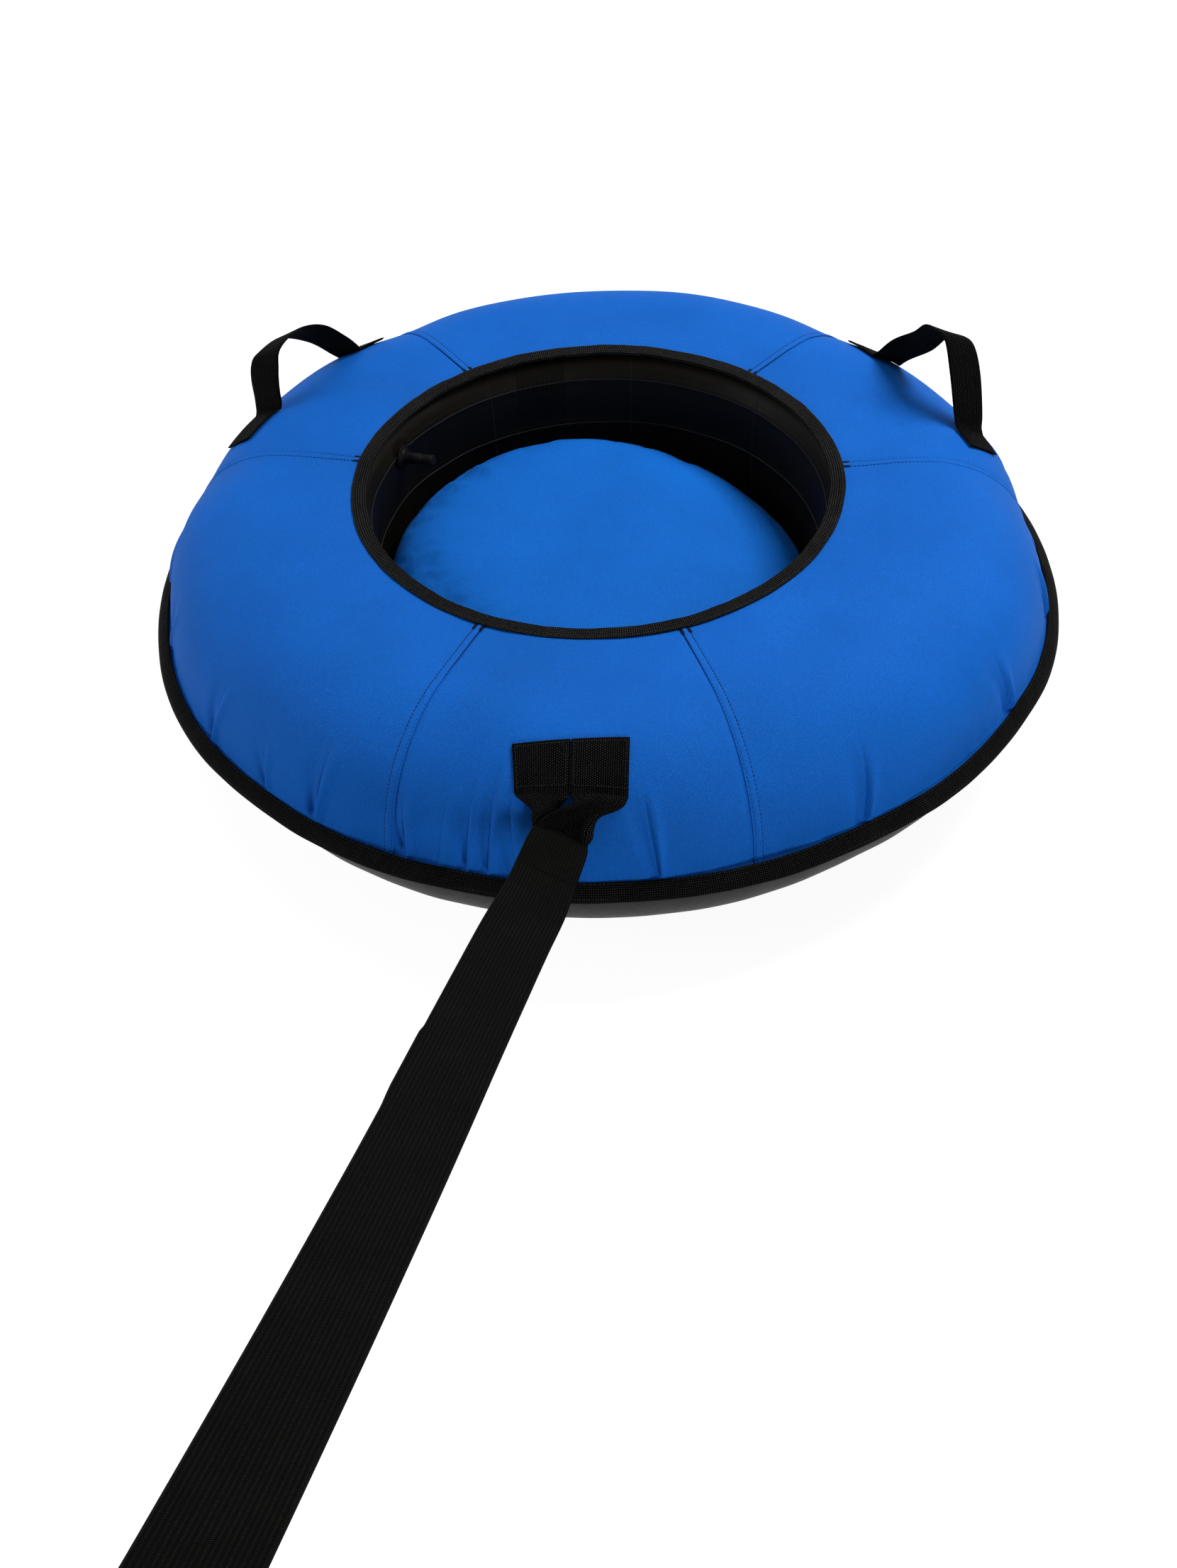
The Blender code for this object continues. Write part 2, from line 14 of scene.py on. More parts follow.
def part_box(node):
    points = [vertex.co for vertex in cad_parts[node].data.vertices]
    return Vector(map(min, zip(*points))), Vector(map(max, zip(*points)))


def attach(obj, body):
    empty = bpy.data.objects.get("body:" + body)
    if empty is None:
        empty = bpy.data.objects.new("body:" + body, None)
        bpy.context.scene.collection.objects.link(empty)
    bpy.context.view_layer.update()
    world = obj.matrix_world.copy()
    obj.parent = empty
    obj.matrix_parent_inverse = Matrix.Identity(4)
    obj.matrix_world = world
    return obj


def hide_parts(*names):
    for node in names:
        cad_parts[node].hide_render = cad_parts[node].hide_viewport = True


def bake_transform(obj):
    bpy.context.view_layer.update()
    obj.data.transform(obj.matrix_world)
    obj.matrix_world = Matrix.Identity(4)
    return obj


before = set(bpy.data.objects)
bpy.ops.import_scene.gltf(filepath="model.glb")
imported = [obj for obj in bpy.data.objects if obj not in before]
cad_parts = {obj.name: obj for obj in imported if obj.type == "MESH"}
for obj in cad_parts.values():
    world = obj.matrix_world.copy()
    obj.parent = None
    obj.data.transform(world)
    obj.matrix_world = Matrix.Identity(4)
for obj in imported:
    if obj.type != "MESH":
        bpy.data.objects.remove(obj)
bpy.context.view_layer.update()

# Ring
ring_radius = 0.336
section_half_width = 0.110
section_half_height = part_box("back_panel")[1].z / 2
cover_top = 2 * section_half_height
hole_wall_reach = 0.106
cover_cloth = 0.0008
tape_cloth = 0.0012
webbing_cloth = 0.0020
base_cloth = 0.0010
skin_gap = 0.0003

# Cover panels: name, middle azimuth and sweep
narrow_sweep = 45
wide_sweep = 75
panel_places = [
    ("front", "front_panel", -90, narrow_sweep),
    ("right_grip", "right_grip_panel", 30, narrow_sweep),
    ("left_grip", "left_grip_panel", 150, narrow_sweep),
    ("front_right", "front_right_panel", -30, wide_sweep),
    ("back", "back_panel", 90, wide_sweep),
    ("front_left", "front_left_panel", -150, wide_sweep),
]
seam_azimuths = (-112.5, -67.5, 7.5, 52.5, 127.5, 172.5)
seam_row_gap = 0.0070
seam_lap = 0.0040
seam_pull = 0.0046
seam_pull_width = 0.052
seam_dip = 0.0007
needle_dip = 0.0006
needle_half_width = 0.0011
rim_seam_radius = 0.4475
rim_flange_radius = 0.4585
rim_seam_height = 0.1235
rim_flange_height = 0.1165
hole_edge_radius = 0.2363
profile_step = 0.0033
panel_step = 0.22
pucker_step = 0.07
pucker_margin = 0.35

# How far the inflated ring stands out beyond a true circle: azimuth and distance
outline_swell = [
    (-170, 0.0040), (-150, 0.0060), (-125, 0.0020), (-90, 0.0000), (-60, 0.0020), (-35, 0.0090),
    (-12, 0.0160), (5, 0.0110), (20, 0.0075), (36, 0.0000), (55, 0.0030), (80, 0.0040),
    (100, 0.0035), (118, 0.0000), (136, 0.0000), (152, 0.0015), (170, 0.0045),
]
swell_reach = 13

# Puckers that rise from the rim: azimuth, rise, width, depth and lean in degrees over the rise
puckers = [
    (-143.1, 0.055, 0.0040, 0.0034, 1.6), (-131.1, 0.040, 0.0035, 0.0026, -1.0),
    (-122.9, 0.062, 0.0042, 0.0036, 1.2), (-110.1, 0.050, 0.0040, 0.0032, -0.8),
    (-102.4, 0.088, 0.0034, 0.0026, 0.6), (-99.8, 0.100, 0.0044, 0.0024, 0.8),
    (-79.6, 0.062, 0.0036, 0.0030, -1.4), (-53.8, 0.060, 0.0042, 0.0034, 1.5),
    (-26.6, 0.052, 0.0042, 0.0034, -1.2), (-163.0, 0.046, 0.0040, 0.0030, 1.4),
    (-176.0, 0.052, 0.0044, 0.0036, -1.6), (-8.0, 0.050, 0.0042, 0.0034, 1.2),
    (2.5, 0.040, 0.0036, 0.0028, -1.2), (17.0, 0.058, 0.0042, 0.0034, 1.0),
    (33.0, 0.044, 0.0038, 0.0028, -1.5), (58.0, 0.060, 0.0042, 0.0034, 1.2),
    (71.5, 0.040, 0.0036, 0.0026, 1.6), (86.0, 0.054, 0.0042, 0.0032, -1.0),
    (103.0, 0.048, 0.0040, 0.0030, 1.4), (121.0, 0.062, 0.0042, 0.0034, -1.2),
    (139.0, 0.042, 0.0036, 0.0026, 1.0), (158.0, 0.056, 0.0042, 0.0032, 1.5),
    (-96.4, 0.082, 0.0066, 0.0018, -1.2), (-93.4, 0.070, 0.0060, 0.0014, 0.8),
    (-106.0, 0.080, 0.0070, 0.0014, 1.6),
]

# Half width of the sharp crease at a pucker's foot, and how far a pucker reaches as a share of its rise
pucker_crease = 0.0016
pucker_reach_share = 1.35

# Shallow dent of the cloth under the hitch: azimuth, height, half width, half height and depth
hitch_dent = (-91.5, 0.166, 0.032, 0.024, 0.0030)

# Small gathers at the rim and slack of the cloth, as (frequency, size, phase) round the ring
rim_gathers = ((58, 0.00022, 0.4), (83, 0.00018, 2.1), (131, 0.00012, 1.0), (37, 0.00030, 3.3))
rim_gather_height = 0.022
cloth_slack = ((7, 0.0009, 1.1), (11, 0.0007, 2.0), (17, 0.00045, 0.3))

# Tape round the hole and round the rim
hole_tape_inner = 0.2345
hole_tape_outer = 0.2502
hole_tape_low = 0.2397
hole_tape_high = 0.2436
rim_tape_course = ((0.4492, 0.1250), (0.4530, 0.1230), (0.4570, 0.1199), (0.4600, 0.1160), (0.4612, 0.1108))
rim_tape_thickness = 0.0026
tape_step = 0.0022
tape_waver = ((9, 0.00022, 0.4), (23, 0.00014, 1.7), (41, 0.00008, 2.9))
tape_lift = ((13, 0.00028, 0.9), (31, 0.00020, 2.2), (67, 0.00012, 0.1))

# Small waves of the base sheet's side
base_ripples = ((29, 0.0004, 0.2), (53, 0.0003, 1.4), (11, 0.0008, 2.3))

# Inner tube, seen through the hole
tube_hole_power = 6
tube_inner_foot_power = 3
tube_foot_power = 1.9
tube_slack = 0.0030
tube_crease_slack = 0.0065
tube_step = 0.0045
tube_turn_step = 0.75
tube_softness = ((5, 0.0009, 0.6), (9, 0.0006, 2.4))
flash_radius = 0.0007
mould_rings = ((0.211, 0.0015, 0.0014), (0.157, 0.0020, 0.0012))
rib_first = 103.4
rib_pitch = 1.35
rib_count = 10
rib_height = 0.0013
rib_zone = (101.5, 118.0)
rib_turn_step = 0.16
rib_bottom = 0.176
splice_azimuths = (84.5, 47.0, 124.0, -150.0, -40.0)
splice_height = 0.0006
splice_half_width = 0.0030
# Raised edge of the valve's patch on the wall and the hollow inside it: radius, half width, height, and
# radius and depth
patch_edge = (0.0185, 0.0022, 0.0009)
patch_hollow = (0.0165, 0.0012)

# Seat
seat_radius = 0.2290
seat_foot = 0.0056
seat_side = 0.090
seat_crown = 0.1708
seat_left_powers = (7.2, 2.5)
seat_right_powers = (3.0, 1.6)
seat_lean = -0.013
seat_voxel = 0.0058
seat_pressure = 4
seat_frames = 16
seat_swell_cap = 0.0045
seat_foam_inset = 0.0130
seat_cloth_inset = 0.0030
seat_foam_foot = 0.0068
seat_clearance = 0.0004
# Folds at the seat's edge, as (frequency, size, phase), and the depth of the soft hollows on its top
seat_folds = ((14, 0.0004, 0.5), (23, 0.0003, 1.9), (37, 0.0002, 0.8))
seat_hollow = 0.0012

# Valve: its foot on the wall of the hole and its axis
valve_foot = Vector((-0.21452, 0.08886, 0.205))
valve_axis = Vector((0.91145, -0.37754, 0.16347))
valve_sides = 72

# Grips: side, azimuth, and which way round the ring the near foot lies.
# Each course has the share of the chord from the near root, the height over it, a shift outwards and the tilt
grip_width = 0.040
grip_root_reach = 0.383
grip_half_span = 0.072
grip_foot_end = 0.115
grip_foot_tilt = 34
grip_places = {
    "left": (150, 1, (
        (0.062, 0.0000, -0.0005, 25), (0.072, 0.0148, -0.0012, 10), (0.072, 0.0349, -0.0010, 4),
        (0.096, 0.0544, -0.0009, 11), (0.153, 0.0697, -0.0020, 27), (0.377, 0.0745, -0.0045, 35),
        (0.642, 0.0544, -0.0060, 48), (0.872, 0.0214, -0.0060, 50), (1.005, 0.0000, -0.0040, 38))),
    "right": (30, -1, (
        (-0.094, 0.0000, 0.0003, 31), (-0.051, 0.0174, 0.0023, 21), (0.049, 0.0569, 0.0043, 16),
        (0.158, 0.0850, 0.0042, 24), (0.285, 0.0880, -0.0010, 31), (0.340, 0.0850, -0.0050, 38),
        (0.480, 0.0622, -0.0050, 50), (0.753, 0.0292, -0.0024, 54), (0.945, 0.0000, 0.0010, 42))),
}
grip_rib = 0.00016
grip_lift = 0.0014
grip_step = 0.0008
stitch_lift = 0.0027
rib_spacing = 0.0024

# Stitches: pitch, length and thickness
tape_stitch = (0.0042, 0.0032, 0.0007)
seam_stitch = (0.0040, 0.0035, 0.0009)
tack_stitch = (0.0012, 0.0022, 0.0008)
foot_stitch = (0.0034, 0.0028, 0.0007)
pad_stitch = (0.0034, 0.0029, 0.0008)
hand_stitch = (0.0034, 0.0028, 0.0008)

# Tow anchor
anchor_half = 0.052
anchor_slit = 0.0006
anchor_top_reach = 0.377
anchor_bottom_reach = 0.416
anchor_fold = Vector((0, -0.41733, 0.20388))
anchor_out = Vector((0, -0.72537, -0.68835))
anchor_facing = Vector((0, -0.68835, 0.72537))
anchor_top_lean = 0.075
pad_taper = 0.004
pad_lift = 0.0017
pad_stitch_lift = 0.0029
anchor_azimuth = -90
bight = Vector((-0.003, -0.44541, 0.17724))
# Courses of the two halves below the fold: sideways, along the fall and off its plane, in thousandths
anchor_left_course = (
    ((-44, 4, 3.0), (-33, 4, 3.0), (-22, 3.5, 3.0), (-11, 3, 2.5), (-0.5, 2.5, 2.0)),
    ((-37, 9.5, 4), (-28, 9.5, 5.5), (-19, 9, 4), (-11, 7, 2), (-3.0, 5.0, 1.0)),
    ((-31.9, 14.5, 5), (-25, 15.5, 7), (-18, 15, 4), (-12, 12.5, 1), (-6.5, 9.0, -0.5)),
    ((-32.1, 20, 5), (-27, 22, 6.5), (-21, 22, 3), (-16, 19, 0), (-13, 16, -1.2)),
    ((-31, 26, 4), (-28, 28, 4.5), (-24, 28.5, 2), (-21, 26, -1), (-19, 23, -2.2)),
    ((-29.5, 32, 1), (-27, 35, 2.0), (-23.5, 35, 0.5), (-21, 34, -1.5), (-20, 32, -2.8)),
)
anchor_right_course = (
    ((1.5, 2, 2.0), (12, 2.0, 4.0), (26, -0.5, 7.5), (41, 0.5, 6), (52, 3.0, 3)),
    ((4.6, 6.3, 5.0), (12, 6.5, 6.5), (25, 2.5, 11.5), (40, 4.0, 10), (49.5, 8, 4)),
    ((-6, 11.5, 9), (9, 11, 8.0), (23, 8.5, 10.5), (36, 11.5, 9), (42, 13, 3)),
    ((-17, 18, 11), (2, 15, 5.0), (16, 17, 5), (26, 18.5, 9), (28, 18.5, 3)),
    ((-25.5, 25, 10), (-6, 25, -1.5), (8, 26, -1.0), (18, 28, 8), (23.5, 28, 3.5)),
    ((-26, 30, 4), (-8, 33, -3.5), (6, 36, -3.0), (14.5, 38, 5), (22, 38, 3)),
    ((-12, 39, -2), (-3, 41, -3.5), (6, 44, -2.0), (13, 45, 2), (17.5, 44.5, 0.5)),
)
bar_centre = (-7.4, 40.3, 0)
bar_half_length = 0.0245
bar_radii = (0.0044, 0.0032)

# Tow strap
strap_width = 0.060
strap_layer = 0.0020
strap_across = Vector((0.912, -0.236, -0.335))
strap_steps = [
    Vector((-0.0115, -0.0531, 0.0112)),
    Vector((-0.0155, -0.1090, 0.0369)),
    Vector((-0.0238, -0.1767, 0.0677)),
    Vector((-0.0325, -0.2612, 0.1065)),
    Vector((-0.0407, -0.3457, 0.1461)),
    Vector((-0.0482, -0.4303, 0.1867)),
    Vector((-0.0557, -0.5148, 0.2281)),
    Vector((-0.0633, -0.5993, 0.2705)),
    Vector((-0.0708, -0.6838, 0.3137)),
    Vector((-0.0784, -0.7684, 0.3577)),
    Vector((-0.0859, -0.8529, 0.4027)),
    Vector((-0.0919, -0.9205, 0.4393)),
]
eye_half_width = 0.0224
eye_fold_radius = 0.0062
eye_overlap = 0.0016
hand_loop_length = 0.1450
hand_loop_half_opening = 0.033
# Narrowing at the bight, the slanting edge of the upper layer, the soft crease below it, and the sway
strap_narrowing = 0.055
strap_edge_drop = 0.0007
strap_crease_depth = 0.0006
strap_sway = 0.0009
strap_side_step = 0.0012

# Camera of the photograph, in this frame
camera_place = Vector((0.14498343, -1.69812339, 1.46892981))
camera_forward = Vector((-0.07084461, 0.71370394, -0.69685561))
camera_right = Vector((0.99723441, 0.06640892, -0.03336756))
camera_up = Vector((-0.02246287, 0.6972923, 0.71643483))
camera_sensor = 36
camera_lens = 46.99

# Light: strength of the sky, the floor's own tone and glow, and the lamps by name, place, target, size, power
# and colour
sky_strength = 0.15
floor_tone = 0.24
floor_glow = 0.92
floor_reach = 12
lamps = (
    ("key_lamp", (1.25, 0.65, 2.35), (0, 0, 0.15), 1.1, 57, (1, 0.99, 0.98)),
    ("top_lamp", (-0.9, 0.8, 2.5), (0, 0, 0.15), 1.4, 14, (0.98, 0.99, 1)),
    ("front_lamp", (1.3, -2.4, 0.50), (0.1, -0.3, 0.15), 0.8, 25, (0.95, 0.98, 1)),
    ("left_lamp", (-2.6, -0.5, 0.75), (-0.2, 0, 0.15), 1.1, 25, (0.96, 0.98, 1)),
)


def smooth(value, low, high):
    """0 below low, 1 above high, smooth between them."""
    share = np.clip((value - low) / (high - low), 0, 1)
    return share * share * (3 - 2 * share)


def turn_between(azimuth, other):
    """Signed turn in degrees from one azimuth to another, the short way."""
    return (azimuth - other + 180) % 360 - 180


def ripple(position, table):
    """Sum of sines given as (frequency, size, phase)."""
    return sum(size * np.sin(frequency * position + phase) for frequency, size, phase in table)


def swell(azimuth):
    """Smooth outward swell of the ring at an azimuth."""
    total = 0
    weight = 0
    for middle, distance in outline_swell:
        near = np.exp(-(turn_between(azimuth, middle) / swell_reach) ** 2)
        total = total + near * distance
        weight = weight + near
    return total / weight


def swell_share(radius):
    """Share of the swell that a radius takes part in."""
    return smooth(radius, 0.27, 0.43)


def superellipse(centre, half_sizes, power, start, end, steps):
    """Points of part of a superellipse between two turns in degrees."""
    turn = np.radians(np.linspace(start, end, steps + 1))
    across = np.sign(np.cos(turn)) * np.abs(np.cos(turn)) ** (2 / power)
    upward = np.sign(np.sin(turn)) * np.abs(np.sin(turn)) ** (2 / power)
    return np.stack([centre[0] + half_sizes[0] * across, centre[1] + half_sizes[1] * upward], 1)


def distance_along(points):
    """Distance along a polyline at each of its points."""
    return np.concatenate([[0], np.cumsum(np.linalg.norm(np.diff(points, axis=0), axis=1))])


def at_distances(places, length, points):
    """Points of a polyline at given distances along it."""
    return np.stack([np.interp(places, length, points[:, axis]) for axis in range(points.shape[1])], 1)


def around_axis(reach, turn, height):
    """Points by their reach from the axis, turn round it and height."""
    reach, turn, height = np.broadcast_arrays(reach, turn, height)
    return np.stack([reach * np.cos(turn), reach * np.sin(turn), height], -1)


def resampled(points, step):
    """Polyline with even steps, with the distance along it."""
    points = np.asarray(points, float)
    length = distance_along(points)
    along = np.linspace(0, length[-1], max(2, round(length[-1] / step) + 1))
    return at_distances(along, length, points), along


def normals_of(profile):
    """Unit normals of a (radius, height) polyline that runs outwards and down."""
    tangent = np.gradient(profile, axis=0)
    normal = np.stack([-tangent[:, 1], tangent[:, 0]], 1)
    return normal / np.linalg.norm(normal, axis=1)[:, None]


def cover_profile():
    """Outer face of the cover from the hole to the edge at the rim."""
    centre = (ring_radius, section_half_height)
    shoulder = superellipse(centre, (section_half_width, section_half_height), 2, 90, 3, 90)
    flat = np.array([(hole_edge_radius, cover_top)])
    flange = np.array([(rim_seam_radius, rim_seam_height), (rim_flange_radius, rim_flange_height)])
    points, along = resampled(np.concatenate([flat, shoulder, flange]), profile_step)
    return points, along, normals_of(points)


cover_points, cover_along, cover_normals = cover_profile()


def relief(azimuth, radius, height):
    """How far the cloth lies above or below the even ring: pulled seams, puckers and slack."""
    shoulder = smooth(radius, 0.30, 0.39)
    rise = np.zeros(np.broadcast(azimuth, radius).shape)
    for seam in seam_azimuths:
        side = np.radians(turn_between(azimuth, seam)) * radius
        rise = rise - (seam_dip + seam_pull * shoulder) * np.exp(-(side / seam_pull_width) ** 2)
        rise = rise - needle_dip * np.exp(-((np.abs(side) - seam_row_gap / 2) / needle_half_width) ** 2)
    above_rim = np.maximum(height - rim_seam_height, 0)
    outside = smooth(radius, 0.37, 0.42)
    for middle, reach, width, depth, lean in puckers:
        share = np.clip(above_rim / (reach * pucker_reach_share), 0, 1)
        side = np.radians(turn_between(azimuth, middle + lean * share)) * radius
        fade = (1 - share) ** 0.9 * outside * smooth(above_rim, -0.001, 0.006)
        crease = pucker_crease * (1 + share)
        ridge = width * (0.75 + 1.3 * share)
        rise = rise - 1.5 * depth * fade * np.exp(-np.abs(side) / crease)
        rise = rise + 1.7 * depth * fade * np.exp(-((side - 0.9 * ridge) / ridge) ** 2)
        rise = rise - 1.4 * depth * fade * np.exp(-((side + 1.6 * ridge) / (1.3 * ridge)) ** 2)
    middle, level, half_width, half_height, depth = hitch_dent
    side = np.radians(turn_between(azimuth, middle)) * radius
    rise = rise - depth * np.exp(-(side / half_width) ** 2 - ((height - level) / half_height) ** 2) * outside
    turn = np.radians(azimuth)
    rise = rise + ripple(turn, rim_gathers) * outside * np.exp(-above_rim / rim_gather_height)
    rise = rise + ripple(turn, cloth_slack) * np.sin((radius - 0.25) * 26) * smooth(radius, 0.26, 0.31)
    return rise


def on_cover(azimuth, distance, lift=0):
    """Points on the cover, by azimuth and distance along its profile from the hole."""
    azimuth, distance = np.broadcast_arrays(np.asarray(azimuth, float), np.asarray(distance, float))
    radius = np.interp(distance, cover_along, cover_points[:, 0])
    height = np.interp(distance, cover_along, cover_points[:, 1])
    outward = np.interp(distance, cover_along, cover_normals[:, 0])
    upward = np.interp(distance, cover_along, cover_normals[:, 1])
    rise = relief(azimuth, radius, height) + lift
    reach = radius + outward * rise + swell(azimuth) * swell_share(radius)
    turn = np.radians(azimuth)
    return around_axis(reach, turn, height + upward * rise)


def distance_at(radius):
    """Distance along the cover's profile of a radius on the flat top or the shoulder."""
    return np.interp(radius, cover_points[:, 0], cover_along)


def over_cover(azimuth, reach, side, lift=0):
    """Points on the cover, by a reach along an azimuth and a distance to its side."""
    turn = azimuth + np.degrees(np.arctan2(side, reach))
    return on_cover(turn, distance_at(np.hypot(reach, side)), lift)


def add_object(name, data):
    """New object in the scene."""
    item = bpy.data.objects.new(name, data)
    bpy.context.scene.collection.objects.link(item)
    return item


def grid_piece(name, points, uvs, material, around=False, across=False, caps=False, flip=False):
    """Mesh through a grid of points, closed around its rows or across its columns if asked."""
    rows, columns = points.shape[:2]
    index = np.arange(rows * columns).reshape(rows, columns)
    row = np.arange(rows if around else rows - 1)
    column = np.arange(columns if across else columns - 1)
    next_row = (row + 1) % rows
    next_column = (column + 1) % columns
    corners = [index[row][:, column], index[next_row][:, column],
               index[next_row][:, next_column], index[row][:, next_column]]
    places = [uvs[row][:, column], uvs[row + 1][:, column],
              uvs[row + 1][:, column + 1], uvs[row][:, column + 1]]
    if flip:
        corners = corners[::-1]
        places = places[::-1]
    faces = np.stack(corners, -1).reshape(-1, 4).tolist()
    spots = np.stack(places, 2).reshape(-1, 2)
    if caps:
        ends = [index[0].tolist(), index[-1][::-1].tolist()]
        if flip:
            ends = [end[::-1] for end in ends]
        faces += ends
        spots = np.concatenate([spots, np.zeros((2 * columns, 2))])
    mesh = bpy.data.meshes.new(name)
    mesh.from_pydata(points.reshape(-1, 3).tolist(), [], faces)
    layer = mesh.uv_layers.new(name="UVMap")
    layer.data.foreach_set("uv", spots.astype(np.float32).ravel())
    mesh.shade_smooth()
    mesh.materials.append(material)
    return add_object(name, mesh)


def even_uvs(points, around=False, across=False):
    """UVs in metres for a grid of points: distance along the columns and along the rows."""
    wide = np.concatenate([points, points[:1]]) if around else points
    wide = np.concatenate([wide, wide[:, :1]], 1) if across else wide
    along = np.linalg.norm(np.diff(wide, axis=0), axis=2).mean(1)
    side = np.linalg.norm(np.diff(wide, axis=1), axis=2).max(0)
    first = np.concatenate([[0], np.cumsum(along)])
    second = np.concatenate([[0], np.cumsum(side)])
    return np.stack(np.meshgrid(first, second, indexing="ij"), -1)


def thicken(piece, thickness):
    """Give a sheet its thickness, inwards."""
    wall = piece.modifiers.new("wall", "SOLIDIFY")
    wall.thickness = thickness
    wall.offset = -1
    wall.use_rim = True


def turned(name, outline, material, matrix, sides, closed):
    """Turn an outline of (radius, height) about the Z of a matrix."""
    outline = np.asarray(outline, float)
    turn = np.linspace(0, math.tau, sides, endpoint=False)
    points = around_axis(outline[None, :, 0], turn[:, None], outline[None, :, 1])
    uvs = even_uvs(points, True, closed)
    world = np.array(matrix)
    points = points @ world[:3, :3].T + world[:3, 3]
    return grid_piece(name, points, uvs, material, True, closed, flip=True)


def settle(piece, body, slot, *nodes):
    """Let a finished piece ride on its body and stand for its solids, whose parts are hidden; slot is not used.
    """
    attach(piece, body)
    if nodes:
        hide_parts(*nodes)
    return piece


def new_material(name, colour, roughness, specular=0.2, metallic=0):
    """Material with its shader's even values set on the sockets."""
    material = bpy.data.materials.new(name)
    material.use_nodes = True
    shader = material.node_tree.nodes["Principled BSDF"]
    shader.inputs["Base Color"].default_value = (*colour, 1)
    shader.inputs["Roughness"].default_value = roughness
    shader.inputs["Specular IOR Level"].default_value = specular
    shader.inputs["Metallic"].default_value = metallic
    material.diffuse_color = (*colour, 1)
    return material, material.node_tree, shader


def add_node(tree, kind, inputs=(), **settings):
    """Add a node, set its properties, and set or link its inputs."""
    node = tree.nodes.new(kind)
    for name, value in settings.items():
        setattr(node, name, value)
    for key, value in dict(inputs).items():
        if isinstance(value, bpy.types.NodeSocket):
            tree.links.new(value, node.inputs[key])
        else:
            node.inputs[key].default_value = value
    return node


def math_node(tree, operation, first, second=None):
    """Maths on one or two values."""
    inputs = {0: first} if second is None else {0: first, 1: second}
    return add_node(tree, "ShaderNodeMath", inputs, operation=operation).outputs[0]


def multiply_add(tree, value, factor, addend):
    """A value times a factor, plus an addend."""
    inputs = {0: value, 1: factor, 2: addend}
    return add_node(tree, "ShaderNodeMath", inputs, operation="MULTIPLY_ADD").outputs[0]


def waves(tree, value, period, shift=0.0):
    """A wave between 0 and 1 along a value in metres."""
    sine = math_node(tree, "SINE", multiply_add(tree, value, math.tau / period, shift))
    return multiply_add(tree, sine, 0.5, 0.5)


def uv_axes(tree):
    """The two directions of the piece's own UV map, in metres."""
    place = add_node(tree, "ShaderNodeUVMap", uv_map="UVMap")
    parts = add_node(tree, "ShaderNodeSeparateXYZ", {0: place.outputs[0]})
    return parts.outputs[0], parts.outputs[1]


def noise(tree, scale, detail, roughness):
    """Noise over the object's own coordinates."""
    place = add_node(tree, "ShaderNodeTexCoord").outputs["Object"]
    inputs = {"Vector": place, "Scale": scale, "Detail": detail, "Roughness": roughness}
    return add_node(tree, "ShaderNodeTexNoise", inputs).outputs["Fac"]


def paint(tree, shader, value, stops):
    """Base colour from a value, through a ramp of (place, colour) stops."""
    node = add_node(tree, "ShaderNodeValToRGB", {0: value})
    elements = node.color_ramp.elements
    while len(elements) < len(stops):
        elements.new(0.5)
    for element, (place, colour) in zip(elements, stops):
        element.position = place
        element.color = (*colour, 1)
    tree.links.new(node.outputs[0], shader.inputs["Base Color"])


def roughen(tree, shader, value, factor, addend):
    """Roughness from a value."""
    tree.links.new(multiply_add(tree, value, factor, addend), shader.inputs["Roughness"])


def bump(tree, shader, height, depth, strength, under=None):
    """Bump from a height between 0 and 1, as deep as depth in metres."""
    inputs = {"Height": height, "Distance": depth, "Strength": strength}
    if under is not None:
        inputs["Normal"] = under
    node = add_node(tree, "ShaderNodeBump", inputs)
    tree.links.new(node.outputs[0], shader.inputs["Normal"])
    return node.outputs[0]


def scaled_colour(colour, share):
    """A colour made lighter or darker."""
    return tuple(min(1, channel * share) for channel in colour)


def cloth_material(name, colour):
    """Plain woven cover cloth: fine warp and weft, a soft sheen and small changes of shade."""
    material, tree, shader = new_material(name, colour, 0.60, 0.06)
    first, second = uv_axes(tree)
    warp = waves(tree, first, 0.00125)
    weft = waves(tree, second, 0.00115, 0.8)
    weave = math_node(tree, "MULTIPLY", warp, weft)
    grain = noise(tree, 820, 3, 0.75)
    broad = noise(tree, 9, 3, 0.5)
    mixed = multiply_add(tree, broad, 0.34, multiply_add(tree, weave, 0.34, grain))
    paint(tree, shader, mixed,
          ((0.40, scaled_colour(colour, 0.62)), (0.75, colour), (1.0, scaled_colour(colour, 1.38))))
    roughen(tree, shader, grain, 0.18, 0.54)
    shader.inputs["Sheen Weight"].default_value = 0.04
    shader.inputs["Sheen Roughness"].default_value = 0.45
    shader.inputs["Sheen Tint"].default_value = (0.25, 0.50, 1.0, 1)
    creases = bump(tree, shader, noise(tree, 38, 3, 0.6), 0.0012, 0.4)
    bump(tree, shader, math_node(tree, "ADD", weave, grain), 0.00030, 0.7, creases)
    return material


